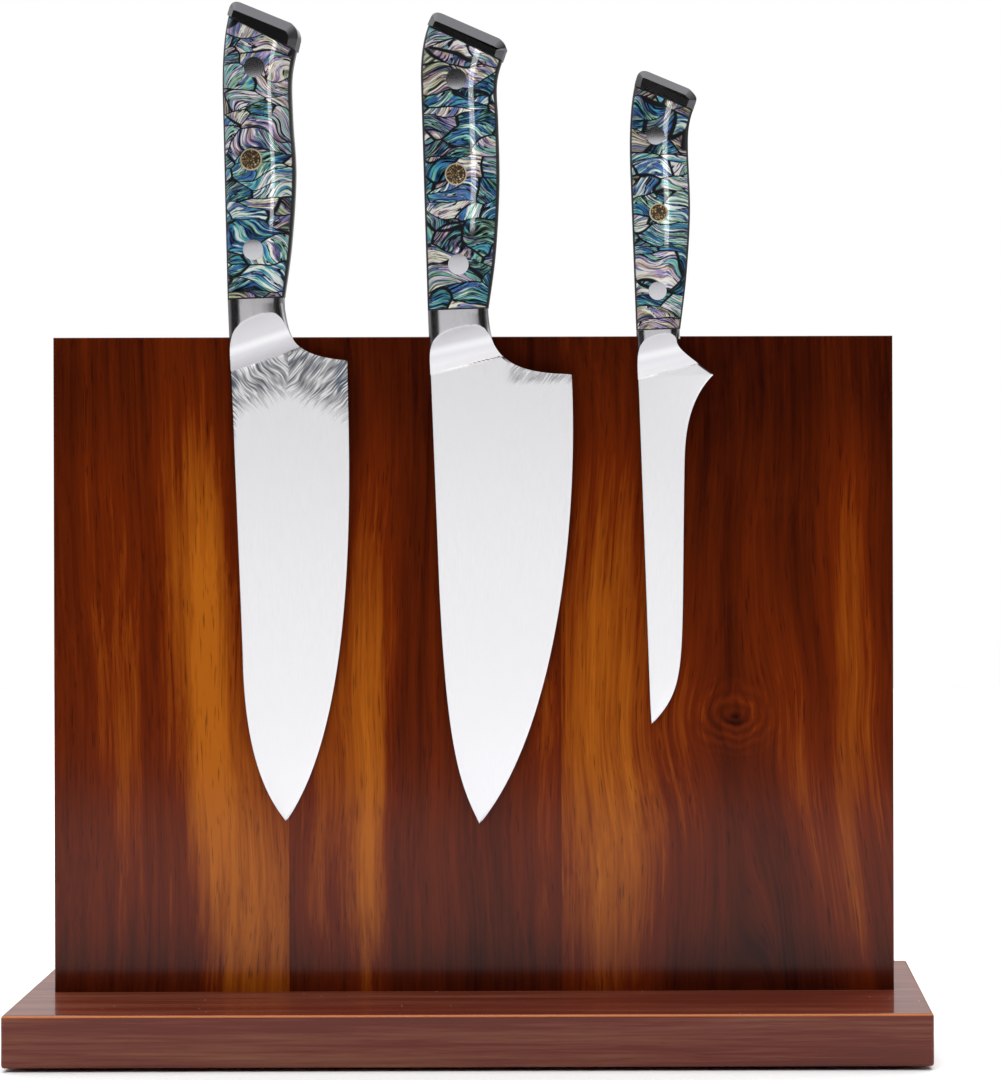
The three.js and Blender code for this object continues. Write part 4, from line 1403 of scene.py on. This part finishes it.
class BLOCK_OT_rivets(bpy.types.Operator):
    """Adds the steel rivets and the mosaic pins, ground flush with the scales"""
    bl_idname = "knife_block.rivets"
    bl_label = "Rivets and pins"

    def execute(self, context):
        polished = steel("rivet_steel", rough=(0.17, 0.2), relief=0.0008 * MM, tint=(0.55, 0.55, 0.58, 1))
        tube_brass = brass("pin_brass")
        wall = context.scene.knife_settings.pin_wall
        for knife in knives():
            for label in ("upper_rivet", "lower_rivet"):
                x, z, radius = knife.shape["fittings"][label]
                rivet = self.add_flush_rod(knife, x, z, radius * MM - 0.03 * MM, RIVET_DOME)
                settle_on(knife, rivet, f"steel_{label}", 40, label, [polished])
            x, z, radius = knife.shape["fittings"]["pin"]
            core = self.add_flush_rod(knife, x, z, radius * MM - wall, PIN_DOME)
            filler = pin_filler(f"{knife.name}_filler", box_centre(f"{knife.name}_pin_core"))
            settle_on(knife, core, "mosaic_core", 40, "pin_core", [filler])
            tube = self.add_tube(knife, x, z, radius * MM - 0.03 * MM, wall)
            settle_on(knife, tube, "brass_tube", 40, "pin_tube", [tube_brass])
        return {"FINISHED"}

    def follow_grip(self, rod, knife, x, z, radius, dome):
        """Shapes the rod's two ends to the grip's surface, with a slight dome of their own."""
        for vertex in rod.data.vertices:
            co = vertex.co
            if abs(co.y) < 6 * MM:
                continue
            away = math.hypot(co.x - x * MM, co.z - z * MM) / radius
            height = knife.surface(co.x / MM, co.z / MM) * MM + dome * MM * (1 - away ** 2)
            co.y = math.copysign(height, co.y)

    def add_flush_rod(self, knife, x, z, radius, dome):
        rod = grip_rod("rod", x, z, radius, 10 * MM)
        rings = 6
        for facing in (-1, 1):
            with editing(rod) as mesh:
                pick(rod, mesh.faces, lambda face: face.normal.y * facing > FACING)
                bpy.ops.mesh.inset(thickness=radius * 0.05, depth=0)
                for _ in range(rings):
                    bpy.ops.mesh.inset(thickness=radius * 0.9 / rings, depth=0)
        self.follow_grip(rod, knife, x, z, radius, dome)
        return rod

    def add_tube(self, knife, x, z, radius, wall):
        tube = grip_rod("tube", x, z, radius, 10 * MM)
        with editing(tube) as mesh:
            pick(tube, mesh.faces, lambda face: abs(face.normal.y) > FACING)
            bpy.ops.mesh.inset(thickness=wall * 0.5, depth=0)
            bpy.ops.mesh.inset(thickness=wall * 0.5 - 0.02 * MM, depth=0)
            bpy.ops.mesh.bridge_edge_loops()
        mend(tube)
        self.follow_grip(tube, knife, x, z, radius, PIN_DOME)
        return tube


# ---- Stage ----

def light_group(piece):
    """The group of lights that a shown piece belongs to."""
    if not set(body_of(piece) or []) & set(KNIVES):
        return "block"
    return "grips" if piece.name.endswith("shell") else "steel"


def add_light(name, place, target, size, level, receivers):
    select_none()
    bpy.ops.object.light_add(type="AREA", location=place)
    lamp = bpy.context.object
    lamp.name = name
    lamp.rotation_euler = (Vector(target) - Vector(place)).to_track_quat("-Z", "Y").to_euler()
    lamp.data.shape = "RECTANGLE"
    lamp.data.size, lamp.data.size_y = size
    lamp.data.energy = level * math.pi * size[0] * size[1]
    lamp.light_linking.receiver_collection = receivers


class BLOCK_OT_stage(bpy.types.Operator):
    """Adds the floor, the lights, the surroundings and the camera"""
    bl_idname = "knife_block.stage"
    bl_label = "Stage"

    def execute(self, context):
        scene = context.scene
        settings = scene.stage_settings
        scene.view_settings.view_transform = "Standard"
        scene.view_settings.look = "None"
        floor = self.add_floor(settings)
        self.add_surroundings(scene)
        self.add_lights(floor)
        self.add_camera(scene, settings)
        return {"FINISHED"}

    def add_floor(self, settings):
        select_none()
        middle = settings.floor_size / 2 - settings.floor_front
        bpy.ops.mesh.primitive_plane_add(size=settings.floor_size, location=(0, middle, 0))
        floor = new_piece("floor")
        set_in_place(floor)
        material, graph, shader, coordinates = new_material(
            "floor_paper", Roughness=0.9, Specular_IOR_Level=0.1)
        tooth = graph.noise(coordinates["Object"], 900, 3)
        paper = graph.mix(tooth, (0.90, 0.90, 0.90, 1), (0.94, 0.94, 0.94, 1))
        reflected = graph.node("ShaderNodeLightPath").outputs["Is Glossy Ray"]
        graph.feed(shader["Base Color"], graph.mix(reflected, paper, (0.78, 0.78, 0.79, 1)))
        floor.data.materials.append(material)
        floor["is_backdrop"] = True
        return floor

    def add_surroundings(self, scene):
        """White behind the block from a little above the horizon, and dark behind the camera."""
        world = bpy.data.worlds.new("surroundings")
        world.use_nodes = True
        scene.world = world
        graph = Graph(world.node_tree)
        background = world.node_tree.nodes["Background"]
        way = graph.node("ShaderNodeTexCoord").outputs["Generated"]
        _, y, z = graph.parts(way)
        white = graph.span(z, 0.13, 0.175, 0.3, 1.0)
        level = graph.mul(graph.span(y, -0.35, 0.35, 0.03, 1.0), white)
        seen = graph.node("ShaderNodeLightPath").outputs["Is Camera Ray"]
        level = graph.math("MAXIMUM", level, seen)
        graph.feed(background.inputs["Color"], graph.point(level, level, level))
        background.inputs["Strength"].default_value = 1.0

    def add_lights(self, floor):
        """Adds the lights. Each one reaches only its own group of pieces."""
        groups = {name: bpy.data.collections.new(f"lit_{name}") for name in ("grips", "steel", "block")}
        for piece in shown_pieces():
            groups[light_group(piece)].objects.link(piece)
        groups["block"].objects.link(floor)
        for name, (place, target, size, levels) in LIGHTS.items():
            for group, level in levels.items():
                add_light(f"{name}_{group}", place, target, size, level, groups[group])

    def add_camera(self, scene, settings):
        select_none()
        place = (settings.camera_x, BASE_LOW.y - settings.distance, settings.camera_z)
        bpy.ops.object.camera_add(location=place)
        camera = bpy.context.object
        level = Matrix.Rotation(math.radians(90), 3, "X")
        camera.rotation_euler = (level @ Matrix.Rotation(CAMERA_ROLL, 3, "Z")).to_euler()
        camera.data.lens = settings.lens
        camera.data.sensor_width = SENSOR_WIDTH
        camera.data.shift_x, camera.data.shift_y = CAMERA_SHIFT
        camera.data.clip_start = 0.05
        camera.data.clip_end = 60
        scene.camera = camera


class BLOCK_PT_panel(bpy.types.Panel):
    """Lists the pieces of the knife block"""
    bl_label = "Knife block"
    bl_idname = "BLOCK_PT_panel"
    bl_space_type = "VIEW_3D"
    bl_region_type = "UI"
    bl_category = "Knife block"

    def draw(self, context):
        for operator in OPERATORS:
            self.layout.operator(operator.bl_idname)
        for name, cls in SETTINGS.items():
            box = self.layout.box()
            for key in cls.__annotations__:
                box.prop(getattr(context.scene, name), key)


OPERATORS = [
    BLOCK_OT_base, BLOCK_OT_board, BLOCK_OT_hardware, BLOCK_OT_blades, BLOCK_OT_scales,
    BLOCK_OT_caps, BLOCK_OT_rivets, BLOCK_OT_stage,
]
SETTINGS = {
    "block_settings": BlockSettings, "knife_settings": KnifeSettings, "stage_settings": StageSettings,
}


def register():
    for cls in [*SETTINGS.values(), *OPERATORS, BLOCK_PT_panel]:
        bpy.utils.register_class(cls)
    for name, cls in SETTINGS.items():
        setattr(bpy.types.Scene, name, bpy.props.PointerProperty(type=cls))


def unregister():
    for name in SETTINGS:
        delattr(bpy.types.Scene, name)
    for cls in reversed([*SETTINGS.values(), *OPERATORS, BLOCK_PT_panel]):
        bpy.utils.unregister_class(cls)


def main():
    register()
    for operator in OPERATORS:
        getattr(bpy.ops.knife_block, operator.bl_idname.split(".")[1])()


if __name__ == "__main__":
    main()
